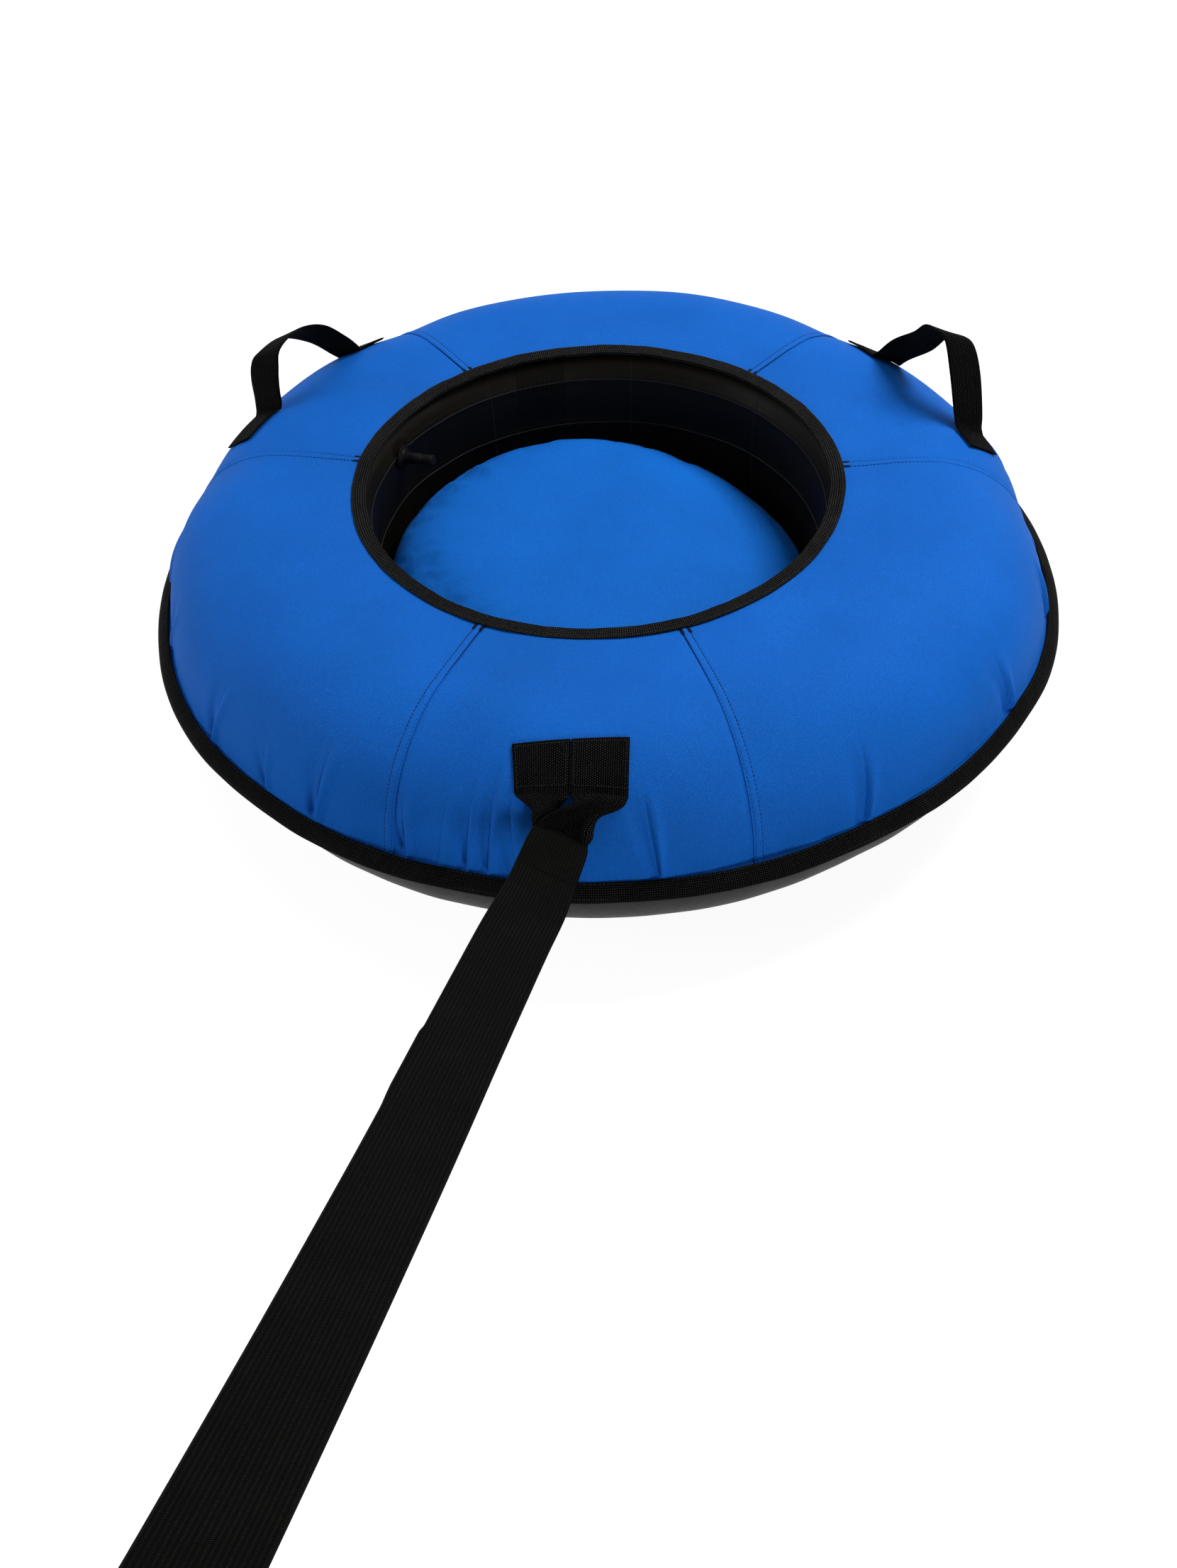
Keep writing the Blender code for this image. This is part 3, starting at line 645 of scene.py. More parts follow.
def webbing_material(name, colour, painted_glint, across_period, along_period, twill, depth):
    """Woven webbing: picks across, ribs along, a twill slant, painted highlights on the thread tops where they
    catch the light, and painted shade between them.
    """
    material, tree, shader = new_material(name, colour, 0.62, 0.015)
    along, across = uv_axes(tree)
    slanted = multiply_add(tree, across, twill, along)
    picks = waves(tree, slanted, along_period)
    ends = waves(tree, across, across_period)
    half_turn = math_node(tree, "MULTIPLY", across, math.pi / across_period)
    swap = math_node(tree, "SIGN", math_node(tree, "SINE", half_turn))
    beads = waves(tree, multiply_add(tree, swap, along_period / 4, slanted), along_period)
    weave = math_node(tree, "MULTIPLY", beads, ends)
    fine = noise(tree, 1100, 3, 0.7)
    patch = noise(tree, 26, 3, 0.6)
    spread = multiply_add(tree, fine, 1.5, -0.25)
    # Painted highlight: the thread tops are painted towards the glint colour, and the low parts of the weave
    # are painted darker as shade.
    lit = math_node(tree, "MULTIPLY", math_node(tree, "POWER", weave, 1.6), spread)
    light = multiply_add(tree, patch, 0.24, lit)
    paint(tree, shader, light, ((0.0, scaled_colour(colour, 0.5)), (0.24, colour), (0.85, painted_glint)))
    shader.inputs["Sheen Weight"].default_value = 0.002
    shader.inputs["Sheen Roughness"].default_value = 0.5
    coarse = bump(tree, shader, picks, depth * 0.6, 0.8)
    bump(tree, shader, weave, depth, 1.0, coarse)
    return material


def sheet_material(name, colour):
    """Smooth grey coated sheet with a faint calender grain, scuffs and dust."""
    material, tree, shader = new_material(name, colour, 0.55, 0.10)
    cloud = noise(tree, 14, 4, 0.6)
    scuff = noise(tree, 210, 5, 0.75)
    mixed = multiply_add(tree, scuff, 0.4, math_node(tree, "MULTIPLY", cloud, 0.6))
    paint(tree, shader, mixed,
          ((0.25, scaled_colour(colour, 0.78)), (0.55, colour), (0.85, scaled_colour(colour, 1.35))))
    roughen(tree, shader, scuff, 0.25, 0.38)
    waves_under = bump(tree, shader, noise(tree, 22, 2, 0.5), 0.0016, 0.4)
    bump(tree, shader, noise(tree, 600, 2, 0.5), 0.00012, 0.5, waves_under)
    return material


def rubber_material(name, colour, scale):
    """Black rubber with a dull bloom and a fine moulded grain."""
    material, tree, shader = new_material(name, colour, 0.46, 0.07)
    bloom = noise(tree, scale, 5, 0.65)
    grain = noise(tree, scale * 60, 3, 0.6)
    mixed = multiply_add(tree, grain, 0.25, math_node(tree, "MULTIPLY", bloom, 0.75))
    paint(tree, shader, mixed,
          ((0.30, scaled_colour(colour, 0.65)), (0.50, colour), (0.75, scaled_colour(colour, 1.9))))
    roughen(tree, shader, bloom, 0.30, 0.36)
    soft = bump(tree, shader, noise(tree, scale * 3, 2, 0.5), 0.0010, 0.3)
    bump(tree, shader, grain, 0.00010, 0.5, soft)
    return material


def thread_material(name, colour):
    """Twisted sewing thread."""
    material, tree, shader = new_material(name, colour, 0.65, 0.08)
    strands = noise(tree, 2600, 2, 0.5)
    paint(tree, shader, strands, ((0.3, scaled_colour(colour, 0.6)), (0.7, scaled_colour(colour, 1.7))))
    bump(tree, shader, strands, 0.0001, 0.5)
    return material


def foam_material(name, colour):
    """Cut foam with open cells."""
    material, tree, shader = new_material(name, colour, 0.95, 0.1)
    place = add_node(tree, "ShaderNodeTexCoord").outputs["Object"]
    cells = add_node(tree, "ShaderNodeTexVoronoi", {"Vector": place, "Scale": 700.0}).outputs["Distance"]
    paint(tree, shader, cells, ((0.0, scaled_colour(colour, 0.6)), (0.5, colour)))
    bump(tree, shader, cells, 0.0006, 0.8)
    return material


def metal_material(name, colour):
    """Turned brass with a dull film and fine tool marks."""
    material, tree, shader = new_material(name, colour, 0.35, 0.5, 1)
    film = noise(tree, 400, 4, 0.6)
    paint(tree, shader, film, ((0.35, scaled_colour(colour, 0.55)), (0.65, colour)))
    roughen(tree, shader, film, 0.35, 0.2)
    bump(tree, shader, noise(tree, 3000, 2, 0.5), 0.00005, 0.4)
    return material


def make_materials():
    """Every finish of the tube, by name."""
    return {
        "cover_cloth": cloth_material("blue_cover_cloth", (0.0055, 0.118, 0.520)),
        "seat_cloth": cloth_material("blue_seat_cloth", (0.0055, 0.138, 0.580)),
        # Each webbing's second colour is the painted highlight on its thread tops.
        "hole_tape": webbing_material("black_hole_tape", (0.0022, 0.0023, 0.0022), (0.160, 0.162, 0.158),
                                      0.0023, 0.0021, 0.55, 0.0008),
        "rim_tape": webbing_material("black_rim_tape", (0.0014, 0.0014, 0.0014), (0.075, 0.075, 0.075),
                                     0.0021, 0.0021, 0.5, 0.0007),
        "pad_webbing": webbing_material("black_pad_webbing", (0.0007, 0.0007, 0.0007),
                                        (0.085, 0.085, 0.082), 0.0020, 0.0023, 0.0, 0.0008),
        "grip_webbing": webbing_material("black_grip_webbing", (0.0008, 0.0008, 0.0008),
                                         (0.040, 0.040, 0.040), 0.0030, 0.0024, 0.0, 0.0008),
        "strap_webbing": webbing_material("black_strap_webbing", (0.0024, 0.0025, 0.0021),
                                          (0.032, 0.033, 0.027), 0.0030, 0.0015, 0.7, 0.0005),
        "base_sheet": sheet_material("grey_base_sheet", (0.0060, 0.0058, 0.0060)),
        "tube_rubber": rubber_material("black_tube_rubber", (0.0026, 0.0020, 0.0009), 9),
        # The flash lines' light grey is a painted highlight along the mould ridges.
        "flash": rubber_material("rubber_flash_painted_highlight", (0.0150, 0.0152, 0.0150), 40),
        "valve_rubber": rubber_material("black_valve_rubber", (0.0026, 0.0026, 0.0027), 60),
        "cap_plastic": rubber_material("black_cap_plastic", (0.0028, 0.0028, 0.0030), 90),
        "brass": metal_material("dull_brass", (0.50, 0.36, 0.15)),
        "cover_thread": thread_material("navy_cover_thread", (0.0020, 0.0035, 0.0190)),
        "tape_thread": thread_material("black_tape_thread", (0.0130, 0.0130, 0.0130)),
        "foam": foam_material("pale_seat_foam", (0.58, 0.56, 0.48)),
    }


def group_socket(tree, name, kind, default=None):
    """Named input of a geometry nodes tree."""
    socket = tree.interface.new_socket(name=name, in_out="INPUT", socket_type=kind)
    if default is not None:
        socket.default_value = default
    return socket.identifier


def stitch_tree():
    """Geometry nodes: turn polylines into rows of stitches with a pitch, a length and a thickness."""
    tree = bpy.data.node_groups.new("stitch_row", "GeometryNodeTree")
    group_socket(tree, "Lines", "NodeSocketGeometry")
    keys = {
        "pitch": group_socket(tree, "Pitch", "NodeSocketFloat", 0.004),
        "length": group_socket(tree, "Length", "NodeSocketFloat", 0.003),
        "thickness": group_socket(tree, "Thickness", "NodeSocketFloat", 0.001),
        "thread": group_socket(tree, "Thread", "NodeSocketMaterial"),
    }
    tree.interface.new_socket(name="Stitches", in_out="OUTPUT", socket_type="NodeSocketGeometry")
    inside = add_node(tree, "NodeGroupInput")
    line = add_node(tree, "GeometryNodeMeshToCurve", {0: inside.outputs["Lines"]})
    spaced = add_node(tree, "GeometryNodeResampleCurve", {"Curve": line.outputs[0]}, mode="LENGTH")
    tree.links.new(inside.outputs["Pitch"], spaced.inputs["Length"])
    tangent = add_node(tree, "GeometryNodeInputTangent")
    aligned = add_node(tree, "FunctionNodeAlignRotationToVector", {"Vector": tangent.outputs[0]}, axis="Z")
    bead = add_node(tree, "GeometryNodeMeshUVSphere", {"Segments": 6, "Rings": 4, "Radius": 1.0})
    half_length = math_node(tree, "MULTIPLY", inside.outputs["Length"], 0.5)
    half_thick = math_node(tree, "MULTIPLY", inside.outputs["Thickness"], 0.5)
    size = add_node(tree, "ShaderNodeCombineXYZ", {0: half_thick, 1: half_thick, 2: half_length})
    placed = add_node(tree, "GeometryNodeInstanceOnPoints", {
        "Points": spaced.outputs[0], "Instance": bead.outputs["Mesh"], "Rotation": aligned.outputs[0],
        "Scale": size.outputs[0]})
    real = add_node(tree, "GeometryNodeRealizeInstances", {0: placed.outputs[0]})
    finish = add_node(tree, "GeometryNodeSetMaterial", {"Geometry": real.outputs[0],
                                                       "Material": inside.outputs["Thread"]})
    outside = add_node(tree, "NodeGroupOutput")
    tree.links.new(finish.outputs[0], outside.inputs[0])
    return tree, keys


def rib_tree():
    """Geometry nodes: grip ribs that stand round a cap, in equal turns."""
    tree = bpy.data.node_groups.new("cap_ribs", "GeometryNodeTree")
    keys = {
        "count": group_socket(tree, "Count", "NodeSocketInt", 20),
        "radius": group_socket(tree, "Radius", "NodeSocketFloat", 0.005),
        "height": group_socket(tree, "Height", "NodeSocketFloat", 0.008),
        "width": group_socket(tree, "Width", "NodeSocketFloat", 0.001),
        "finish": group_socket(tree, "Finish", "NodeSocketMaterial"),
    }
    tree.interface.new_socket(name="Ribs", in_out="OUTPUT", socket_type="NodeSocketGeometry")
    inside = add_node(tree, "NodeGroupInput")
    circle = add_node(tree, "GeometryNodeMeshCircle", {"Vertices": inside.outputs["Count"],
                                                      "Radius": inside.outputs["Radius"]})
    bead = add_node(tree, "GeometryNodeMeshUVSphere", {"Segments": 8, "Rings": 8, "Radius": 0.5})
    size = add_node(tree, "ShaderNodeCombineXYZ", {0: inside.outputs["Width"], 1: inside.outputs["Width"],
                                                   2: inside.outputs["Height"]})
    placed = add_node(tree, "GeometryNodeInstanceOnPoints", {
        "Points": circle.outputs[0], "Instance": bead.outputs["Mesh"], "Scale": size.outputs[0]})
    real = add_node(tree, "GeometryNodeRealizeInstances", {0: placed.outputs[0]})
    finish = add_node(tree, "GeometryNodeSetMaterial", {"Geometry": real.outputs[0],
                                                       "Material": inside.outputs["Finish"]})
    outside = add_node(tree, "NodeGroupOutput")
    tree.links.new(finish.outputs[0], outside.inputs[0])
    return tree, keys


def grown(name, carrier, tree, values):
    """Run a geometry nodes tree on a carrier object and keep the result as a plain mesh."""
    modifier = carrier.modifiers.new(name, "NODES")
    modifier.node_group = tree
    for identifier, value in values.items():
        modifier[identifier] = value
    carrier.update_tag()
    bpy.context.view_layer.update()
    graph = bpy.context.evaluated_depsgraph_get()
    mesh = bpy.data.meshes.new_from_object(carrier.evaluated_get(graph), depsgraph=graph)
    bpy.data.objects.remove(carrier, do_unlink=True)
    mesh.shade_smooth()
    return add_object(name, mesh)


def line_carrier(name, lines):
    """Object that holds polylines for a tree to work along."""
    points = []
    edges = []
    for line in lines:
        start = len(points)
        points += [tuple(point) for point in line]
        edges += [(start + step, start + step + 1) for step in range(len(line) - 1)]
    mesh = bpy.data.meshes.new(name)
    mesh.from_pydata(points, edges, [])
    return add_object(name, mesh)


def add_stitches(name, lines, size, thread, body, slot, sewing):
    """Rows of stitches along polylines, as one piece on a body."""
    tree, keys = sewing
    pitch, length, thickness = size
    values = {keys["pitch"]: pitch, keys["length"]: length, keys["thickness"]: thickness,
              keys["thread"]: thread}
    piece = grown(name, line_carrier(name + "_lines", lines), tree, values)
    return settle(piece, body, slot)


def add_camera():
    """The photograph's camera."""
    data = bpy.data.cameras.new("photo_camera")
    data.sensor_fit = "VERTICAL"
    data.sensor_height = camera_sensor
    data.sensor_width = camera_sensor
    data.lens = camera_lens
    data.clip_start = 0.05
    data.clip_end = 50
    camera = add_object("photo_camera", data)
    columns = [camera_right, camera_up, -camera_forward]
    rotation = Matrix([[column[axis] for column in columns] for axis in range(3)])
    camera.matrix_world = Matrix.Translation(camera_place) @ rotation.to_4x4()
    bpy.context.scene.camera = camera


def backdrop_share(tree):
    """1 for rays that should see the plain white backdrop, 0 for those that light the object."""
    path = add_node(tree, "ShaderNodeLightPath")
    seen = math_node(tree, "MAXIMUM", path.outputs["Is Camera Ray"], path.outputs["Is Glossy Ray"])
    return math_node(tree, "MAXIMUM", seen, path.outputs["Is Transmission Ray"])


def add_world(strength):
    """Even soft light, and a white backdrop where the camera looks past the object."""
    world = bpy.data.worlds.new("studio")
    bpy.context.scene.world = world
    world.use_nodes = True
    tree = world.node_tree
    tree.nodes.clear()
    light = add_node(tree, "ShaderNodeBackground", {"Color": (0.94, 0.97, 1.0, 1), "Strength": strength})
    white = add_node(tree, "ShaderNodeBackground", {"Color": (1, 1, 1, 1), "Strength": 1.0})
    inputs = {0: backdrop_share(tree), 1: light.outputs[0], 2: white.outputs[0]}
    mix = add_node(tree, "ShaderNodeMixShader", inputs)
    add_node(tree, "ShaderNodeOutputWorld", {"Surface": mix.outputs[0]})


def add_floor():
    """Pale floor that looks white and keeps a faint shadow of the object."""
    material = bpy.data.materials.new("studio_floor")
    material.use_nodes = True
    tree = material.node_tree
    tree.nodes.clear()
    plain = add_node(tree, "ShaderNodeBsdfDiffuse", {"Color": (floor_tone,) * 3 + (1,)})
    glow = add_node(tree, "ShaderNodeEmission", {"Color": (1, 1, 1, 1), "Strength": floor_glow})
    seen = add_node(tree, "ShaderNodeAddShader", {0: plain.outputs[0], 1: glow.outputs[0]})
    inputs = {0: backdrop_share(tree), 1: plain.outputs[0], 2: seen.outputs[0]}
    mix = add_node(tree, "ShaderNodeMixShader", inputs)
    add_node(tree, "ShaderNodeOutputMaterial", {"Surface": mix.outputs[0]})
    mesh = bpy.data.meshes.new("floor")
    corners = [(x * floor_reach, y * floor_reach, 0) for x, y in ((-1, -1), (1, -1), (1, 1), (-1, 1))]
    mesh.from_pydata(corners, [], [(0, 1, 2, 3)])
    mesh.materials.append(material)
    floor = add_object("floor", mesh)
    floor.location.z = -0.0005


def add_lamp(name, place, target, size, power, colour):
    """Soft square lamp that looks at a point."""
    data = bpy.data.lights.new(name, "AREA")
    data.shape = "SQUARE"
    data.size = size
    data.energy = power
    data.color = colour
    lamp = add_object(name, data)
    lamp.location = place
    lamp.rotation_euler = (Vector(target) - Vector(place)).to_track_quat("-Z", "Y").to_euler()


def add_lights():
    """Key light from high on the right, with wide weak lamps above, in front and on the left."""
    add_world(sky_strength)
    for lamp in lamps:
        add_lamp(*lamp)


def panel_azimuths(middle, sweep, lap):
    """Columns of a panel: even in its middle and close together at its two seams and at the puckers."""
    edge = sweep / 2 + lap
    near = np.array([0, 0.10, 0.20, 0.30, 0.40, 0.50, 0.60, 0.72, 0.85, 1.0, 1.2, 1.45])
    inner = edge - near[-1]
    count = max(2, round(2 * inner / panel_step))
    spread = np.linspace(-inner, inner, count + 1)
    columns = [-edge + near[:-1], spread, (edge - near[:-1])[::-1]]
    for place, _, _, _, lean in puckers:
        low, high = sorted((turn_between(place, middle), turn_between(place, middle) + lean))
        close = np.arange(low - pucker_margin, high + pucker_margin, pucker_step)
        columns.append(close[np.abs(close) < inner])
    columns = np.sort(np.concatenate(columns))
    return middle + columns[np.append(True, np.diff(columns) > pucker_step / 4)]


def add_cover(materials):
    """Six panels of cover cloth, the wide ones lapped over the narrow ones at the seams."""
    for name, node, middle, sweep in panel_places:
        lapped = sweep == wide_sweep
        lap = math.degrees(seam_lap / ring_radius) if lapped else -math.degrees(skin_gap / ring_radius)
        azimuth = panel_azimuths(middle, sweep, lap)
        side = np.radians(np.minimum(azimuth - azimuth[0], azimuth[-1] - azimuth)) * ring_radius
        raised = (0.0006 if lapped else -0.0007) * (1 - smooth(side, seam_lap, 2.6 * seam_lap))
        points = on_cover(azimuth[:, None], cover_along[None, :], raised[:, None])
        across = np.radians(azimuth) * ring_radius
        uvs = np.stack(np.meshgrid(across, cover_along, indexing="ij"), -1)
        panel = grid_piece(name + "_cloth", points, uvs, materials["cover_cloth"], flip=True)
        thicken(panel, cover_cloth)
        settle(panel, "ring", "cover_cloth", node)


def tape_ring(name, outline, moves, material, step, flip):
    """Folded tape round the ring through a closed (radius, height) outline, with a slight waver."""
    azimuth = np.arange(0, 360, step)
    turn = np.radians(azimuth)
    outline = np.asarray(outline, float)
    waver = ripple(turn, tape_waver)
    lift = ripple(turn, tape_lift)
    reach = outline[None, :, 0] + (moves(azimuth) + waver)[:, None]
    height = outline[None, :, 1] + lift[:, None]
    points = around_axis(reach, turn[:, None], height)
    mean = outline[:, 0].mean()
    around = np.radians(np.append(azimuth, 360)) * mean
    closed = np.concatenate([outline, outline[:1]])
    along = distance_along(closed)
    uvs = np.stack(np.meshgrid(around, along, indexing="ij"), -1)
    return grid_piece(name, points, uvs, material, True, True, flip=flip)


def folded_tape(fold, end, low, high):
    """Outline of folded tape with rounded turns: it wraps an edge at its fold and opens outwards."""
    middle = (low + high) / 2
    half = (high - low) / 2
    turns = np.radians(np.linspace(-90, 90, 9))

    def bow(radius):
        return [(fold + (half - radius * math.cos(turn)), middle + radius * math.sin(turn)) for turn in turns]

    lip = end - tape_cloth * 0.35
    upper = [(lip, high + 0.0001), (end, high - tape_cloth * 0.5), (lip, high - tape_cloth)]
    lower = [(lip, low + tape_cloth), (end, low + tape_cloth * 0.5), (lip, low)]
    dense = []
    loop = bow(half) + upper + bow(half - tape_cloth)[::-1] + lower
    for start, stop in zip(loop, loop[1:] + loop[:1]):
        parts = max(1, round(math.dist(start, stop) / tape_step))
        dense += [(start[0] + (stop[0] - start[0]) * part / parts,
                   start[1] + (stop[1] - start[1]) * part / parts) for part in range(parts)]
    return dense


def banded(course, thickness):
    """Closed outline of a flat band along a course, with rounded edges."""
    course, _ = resampled(spline(np.array(course), 40), 0.0012)
    normal = normals_of(course)
    share = np.linspace(0, 1, len(course))
    half = thickness / 2 * np.minimum(1, 0.45 + 9 * np.minimum(share, 1 - share))
    upper = course + normal * half[:, None]
    lower = course - normal * half[:, None]
    return np.concatenate([upper, lower[::-1]])


def add_bindings(materials, sewing):
    """Tape over the edge of the hole and over the seam at the rim, each with its row of stitches."""
    outline = folded_tape(hole_tape_inner, hole_tape_outer, hole_tape_low, hole_tape_high)
    hole = tape_ring("hole_tape", outline, lambda azimuth: azimuth * 0, materials["hole_tape"], 0.6, True)
    settle(hole, "ring", "tape", "hole_binding")
    outline = banded(rim_tape_course, rim_tape_thickness)
    rim = repair_normals(tape_ring("rim_tape", outline, swell, materials["rim_tape"], 0.5, False))
    settle(rim, "ring", "tape", "rim_binding")
    azimuth = np.linspace(0, 360, 721)
    turn = np.radians(azimuth)
    rows = []
    reach = hole_tape_outer - 0.0022
    rows.append(around_axis(reach, turn, hole_tape_high + 0.0002))
    for place in (0, 3):
        radius, height = np.array(rim_tape_course[place]) * 0.7 + np.array(rim_tape_course[place + 1]) * 0.3
        reach = radius + 0.0008 + swell(azimuth)
        rows.append(around_axis(reach, turn, height + 0.0011))
    add_stitches("tape_stitches", rows, tape_stitch, materials["tape_thread"], "ring", "tape", sewing)


def add_cover_stitches(materials, sewing):
    """Two rows of stitches along each cover seam, with a bar tack at the hole tape."""
    rows = []
    tacks = []
    start = distance_at(hole_tape_outer)
    stop = cover_along[-1] - 0.008
    distance = np.linspace(start, stop, 150)
    radius = np.interp(distance, cover_along, cover_points[:, 0])
    for seam in seam_azimuths:
        for side in (-1, 1):
            azimuth = seam + side * np.degrees(seam_row_gap / 2 / radius)
            rows.append(on_cover(azimuth, distance, 0.00035))
            zigzag = np.arange(10)
            off = side * seam_row_gap / 2 + np.where(zigzag % 2, 0.0013, -0.0013)
            place = start + 0.0005 + zigzag * 0.0007
            tacks.append(on_cover(seam + np.degrees(off / hole_tape_outer), place, 0.0006))
    thread = materials["cover_thread"]
    add_stitches("seam_stitches", rows, seam_stitch, thread, "ring", "cover_cloth", sewing)
    add_stitches("seam_tacks", tacks, tack_stitch, thread, "ring", "cover_cloth", sewing)


def add_base(materials):
    """Smooth sheet from the rim under the ring and across the floor."""
    centre = (ring_radius, section_half_height)
    sizes = (section_half_width, section_half_height)
    seam_gap = cover_cloth + skin_gap
    foot = superellipse(centre, sizes, tube_foot_power, -7, -90, 46)
    middle = np.array([(radius, 0) for radius in np.linspace(ring_radius - 0.02, 0.001, 26)])
    edge = [(rim_flange_radius - seam_gap, rim_flange_height - 0.0024), (rim_seam_radius - seam_gap, 0.1198)]
    outline = np.concatenate([edge, foot, middle])
    azimuth = np.arange(0, 360, 1.0)
    turn = np.radians(azimuth)
    radius = outline[None, :, 0]
    ripples = ripple(turn, base_ripples)[:, None]
    side = smooth(radius, 0.40, 0.44) * smooth(outline[None, :, 1], 0.0, 0.04)
    reach = radius + swell(azimuth)[:, None] * swell_share(radius) + ripples * side
    height = outline[None, :, 1]
    points = around_axis(reach, turn[:, None], height)
    sheet = grid_piece("base_sheet_skin", points, even_uvs(points, True), materials["base_sheet"], True,
                       flip=True)
    thicken(sheet, base_cloth)
    settle(sheet, "ring", "base_sheet", "base_sheet")


def tube_outline():
    """Outer face of the inner tube, clockwise from its top."""
    centre = (ring_radius, section_half_height)
    shell = cover_cloth + skin_gap
    up = section_half_height - shell
    down = section_half_height - 0.0013
    outer = section_half_width - 0.0013
    shoulder = superellipse(centre, (outer, up), 2, 90, 0, 16)
    foot = superellipse(centre, (outer, down), tube_foot_power, 0, -90, 12)[1:]
    inner_foot = superellipse(centre, (hole_wall_reach, down), tube_inner_foot_power, -90, -180, 26)[1:]
    wall = superellipse(centre, (hole_wall_reach, up), tube_hole_power, 180, 90, 90)[1:-1]
    return np.concatenate([shoulder, foot, inner_foot, wall])


def add_tube(materials):
    """Inner tube with its mould rings, ribs and splices on the wall of the hole."""
    outline = tube_outline()
    dense, _ = resampled(np.concatenate([outline, outline[:1]]), tube_step)
    outline = dense[:-1]
    start, stop = rib_zone
    fine = np.arange(start, stop, rib_turn_step)
    azimuth = np.concatenate([np.arange(-180, start, tube_turn_step), fine,
                              np.arange(stop, 180, tube_turn_step)])
    radius = outline[None, :, 0]
    height = outline[None, :, 1]
    inside = smooth(ring_radius - radius, 0.06, 0.09)
    rise = np.zeros((len(azimuth), len(outline)))
    for level, width, size in mould_rings:
        rise = rise + size * np.exp(-((height - level) / width) ** 2) * inside
    for number in range(rib_count):
        middle = rib_first + rib_pitch * number
        side = (azimuth[:, None] - middle) / (rib_pitch * 0.30)
        upward = smooth(height, rib_bottom - 0.006, rib_bottom + 0.004)
        rise = rise + rib_height * np.exp(-side ** 2) * upward * inside
    for middle in splice_azimuths:
        side = np.radians(turn_between(azimuth, middle))[:, None] * radius
        rise = rise + splice_height * np.exp(-(side / splice_half_width) ** 2) * inside
    valve = math.degrees(math.atan2(valve_foot.y, valve_foot.x))
    away = np.hypot(np.radians(turn_between(azimuth, valve))[:, None] * radius, height - valve_foot.z)
    radius_out, half_width, edge_height = patch_edge
    radius_in, hollow = patch_hollow
    edge = edge_height * np.exp(-((away - radius_out) / half_width) ** 2)
    rise = rise + (edge - hollow * (away < radius_in)) * inside
    turn = np.radians(azimuth)
    soft = ripple(turn, tube_softness)[:, None] * inside
    tangent = np.roll(outline, -1, axis=0) - np.roll(outline, 1, axis=0)
    normal = np.stack([-tangent[:, 1], tangent[:, 0]], 1)
    normal = normal / np.linalg.norm(normal, axis=1)[:, None]
    covered = smooth(radius, 0.238, 0.262)
    creased = smooth(radius, 0.37, 0.41) * smooth(height, 0.08, 0.12) * tube_crease_slack
    pulled = relief(azimuth[:, None], radius, height) * smooth(height, 0.10, 0.14) - tube_slack - creased
    lift = (rise - np.abs(soft)) * (1 - covered) + pulled * covered
    reach = radius + normal[None, :, 0] * lift + swell(azimuth)[:, None] * swell_share(radius)
    high = height + normal[None, :, 1] * lift
    points = around_axis(reach, turn[:, None], high)
    closed = np.concatenate([outline, outline[:1]])
    length = distance_along(closed)
    around = np.radians(np.append(azimuth, 180)) * 0.23
    uvs = np.stack(np.meshgrid(around, length, indexing="ij"), -1)
    tube = grid_piece("inner_tube_skin", points, uvs, materials["tube_rubber"], True, True, flip=True)
    settle(tube, "ring", "tube_rubber", "inner_tube")
    add_mould_lines(materials, points, outline, azimuth)


def add_mould_lines(materials, skin, outline, azimuth):
    """Thin flash lines where the halves of the mould met, round the wall of the hole and down its splices;
    their light grey is a painted highlight.
    """
    wall = np.flatnonzero((outline[:, 0] < 0.245) & (outline[:, 1] > 0.10) & (outline[:, 1] < 0.236))
    turn = np.linspace(0, math.tau, 8, endpoint=False)
    cosine, sine = np.cos(turn)[None, :, None], np.sin(turn)[None, :, None]
    for number, (level, _, _) in enumerate(mould_rings):
        column = wall[np.argmin(np.abs(outline[wall, 1] - level))]
        line = skin[:, column]
        outward = unit(line * [1, 1, 0])
        ring = outward[:, None] * cosine + np.array([0, 0, 1]) * sine
        points = line[:, None] + ring * flash_radius
        flash = grid_piece(f"mould_line_{number + 1}", points, even_uvs(points, True, True),
                           materials["flash"], True, True, flip=True)
        settle(repair_normals(flash), "ring", "tube_rubber")
    for number, place in enumerate(splice_azimuths):
        row = np.argmin(np.abs(turn_between(azimuth, place)))
        line = skin[row, wall]
        beside = unit(np.array([-line[0, 1], line[0, 0], 0]))
        outward = unit(np.cross(beside, unit(np.gradient(line, axis=0))))
        ring = outward[:, None] * cosine + beside * sine
        points = line[:, None] + ring * flash_radius * 0.8
        flash = grid_piece(f"splice_line_{number + 1}", points, even_uvs(points, False, True),
                           materials["flash"], False, True, caps=True)
        settle(repair_normals(flash), "ring", "tube_rubber")


def seat_height(share, turn, inset):
    """Height of the seat's top: full towards the left, where it leans up, and falling away on the right."""
    rightward = smooth(np.cos(turn), -0.35, 1.0)
    powers = zip(seat_left_powers, seat_right_powers)
    rim, dome = (left + (right - left) * rightward for left, right in powers)
    lift = (1 - np.clip(share, 0, 1) ** rim) ** (1 / dome)
    return seat_side - inset + (seat_crown - seat_side + seat_lean * share * np.cos(turn)) * lift


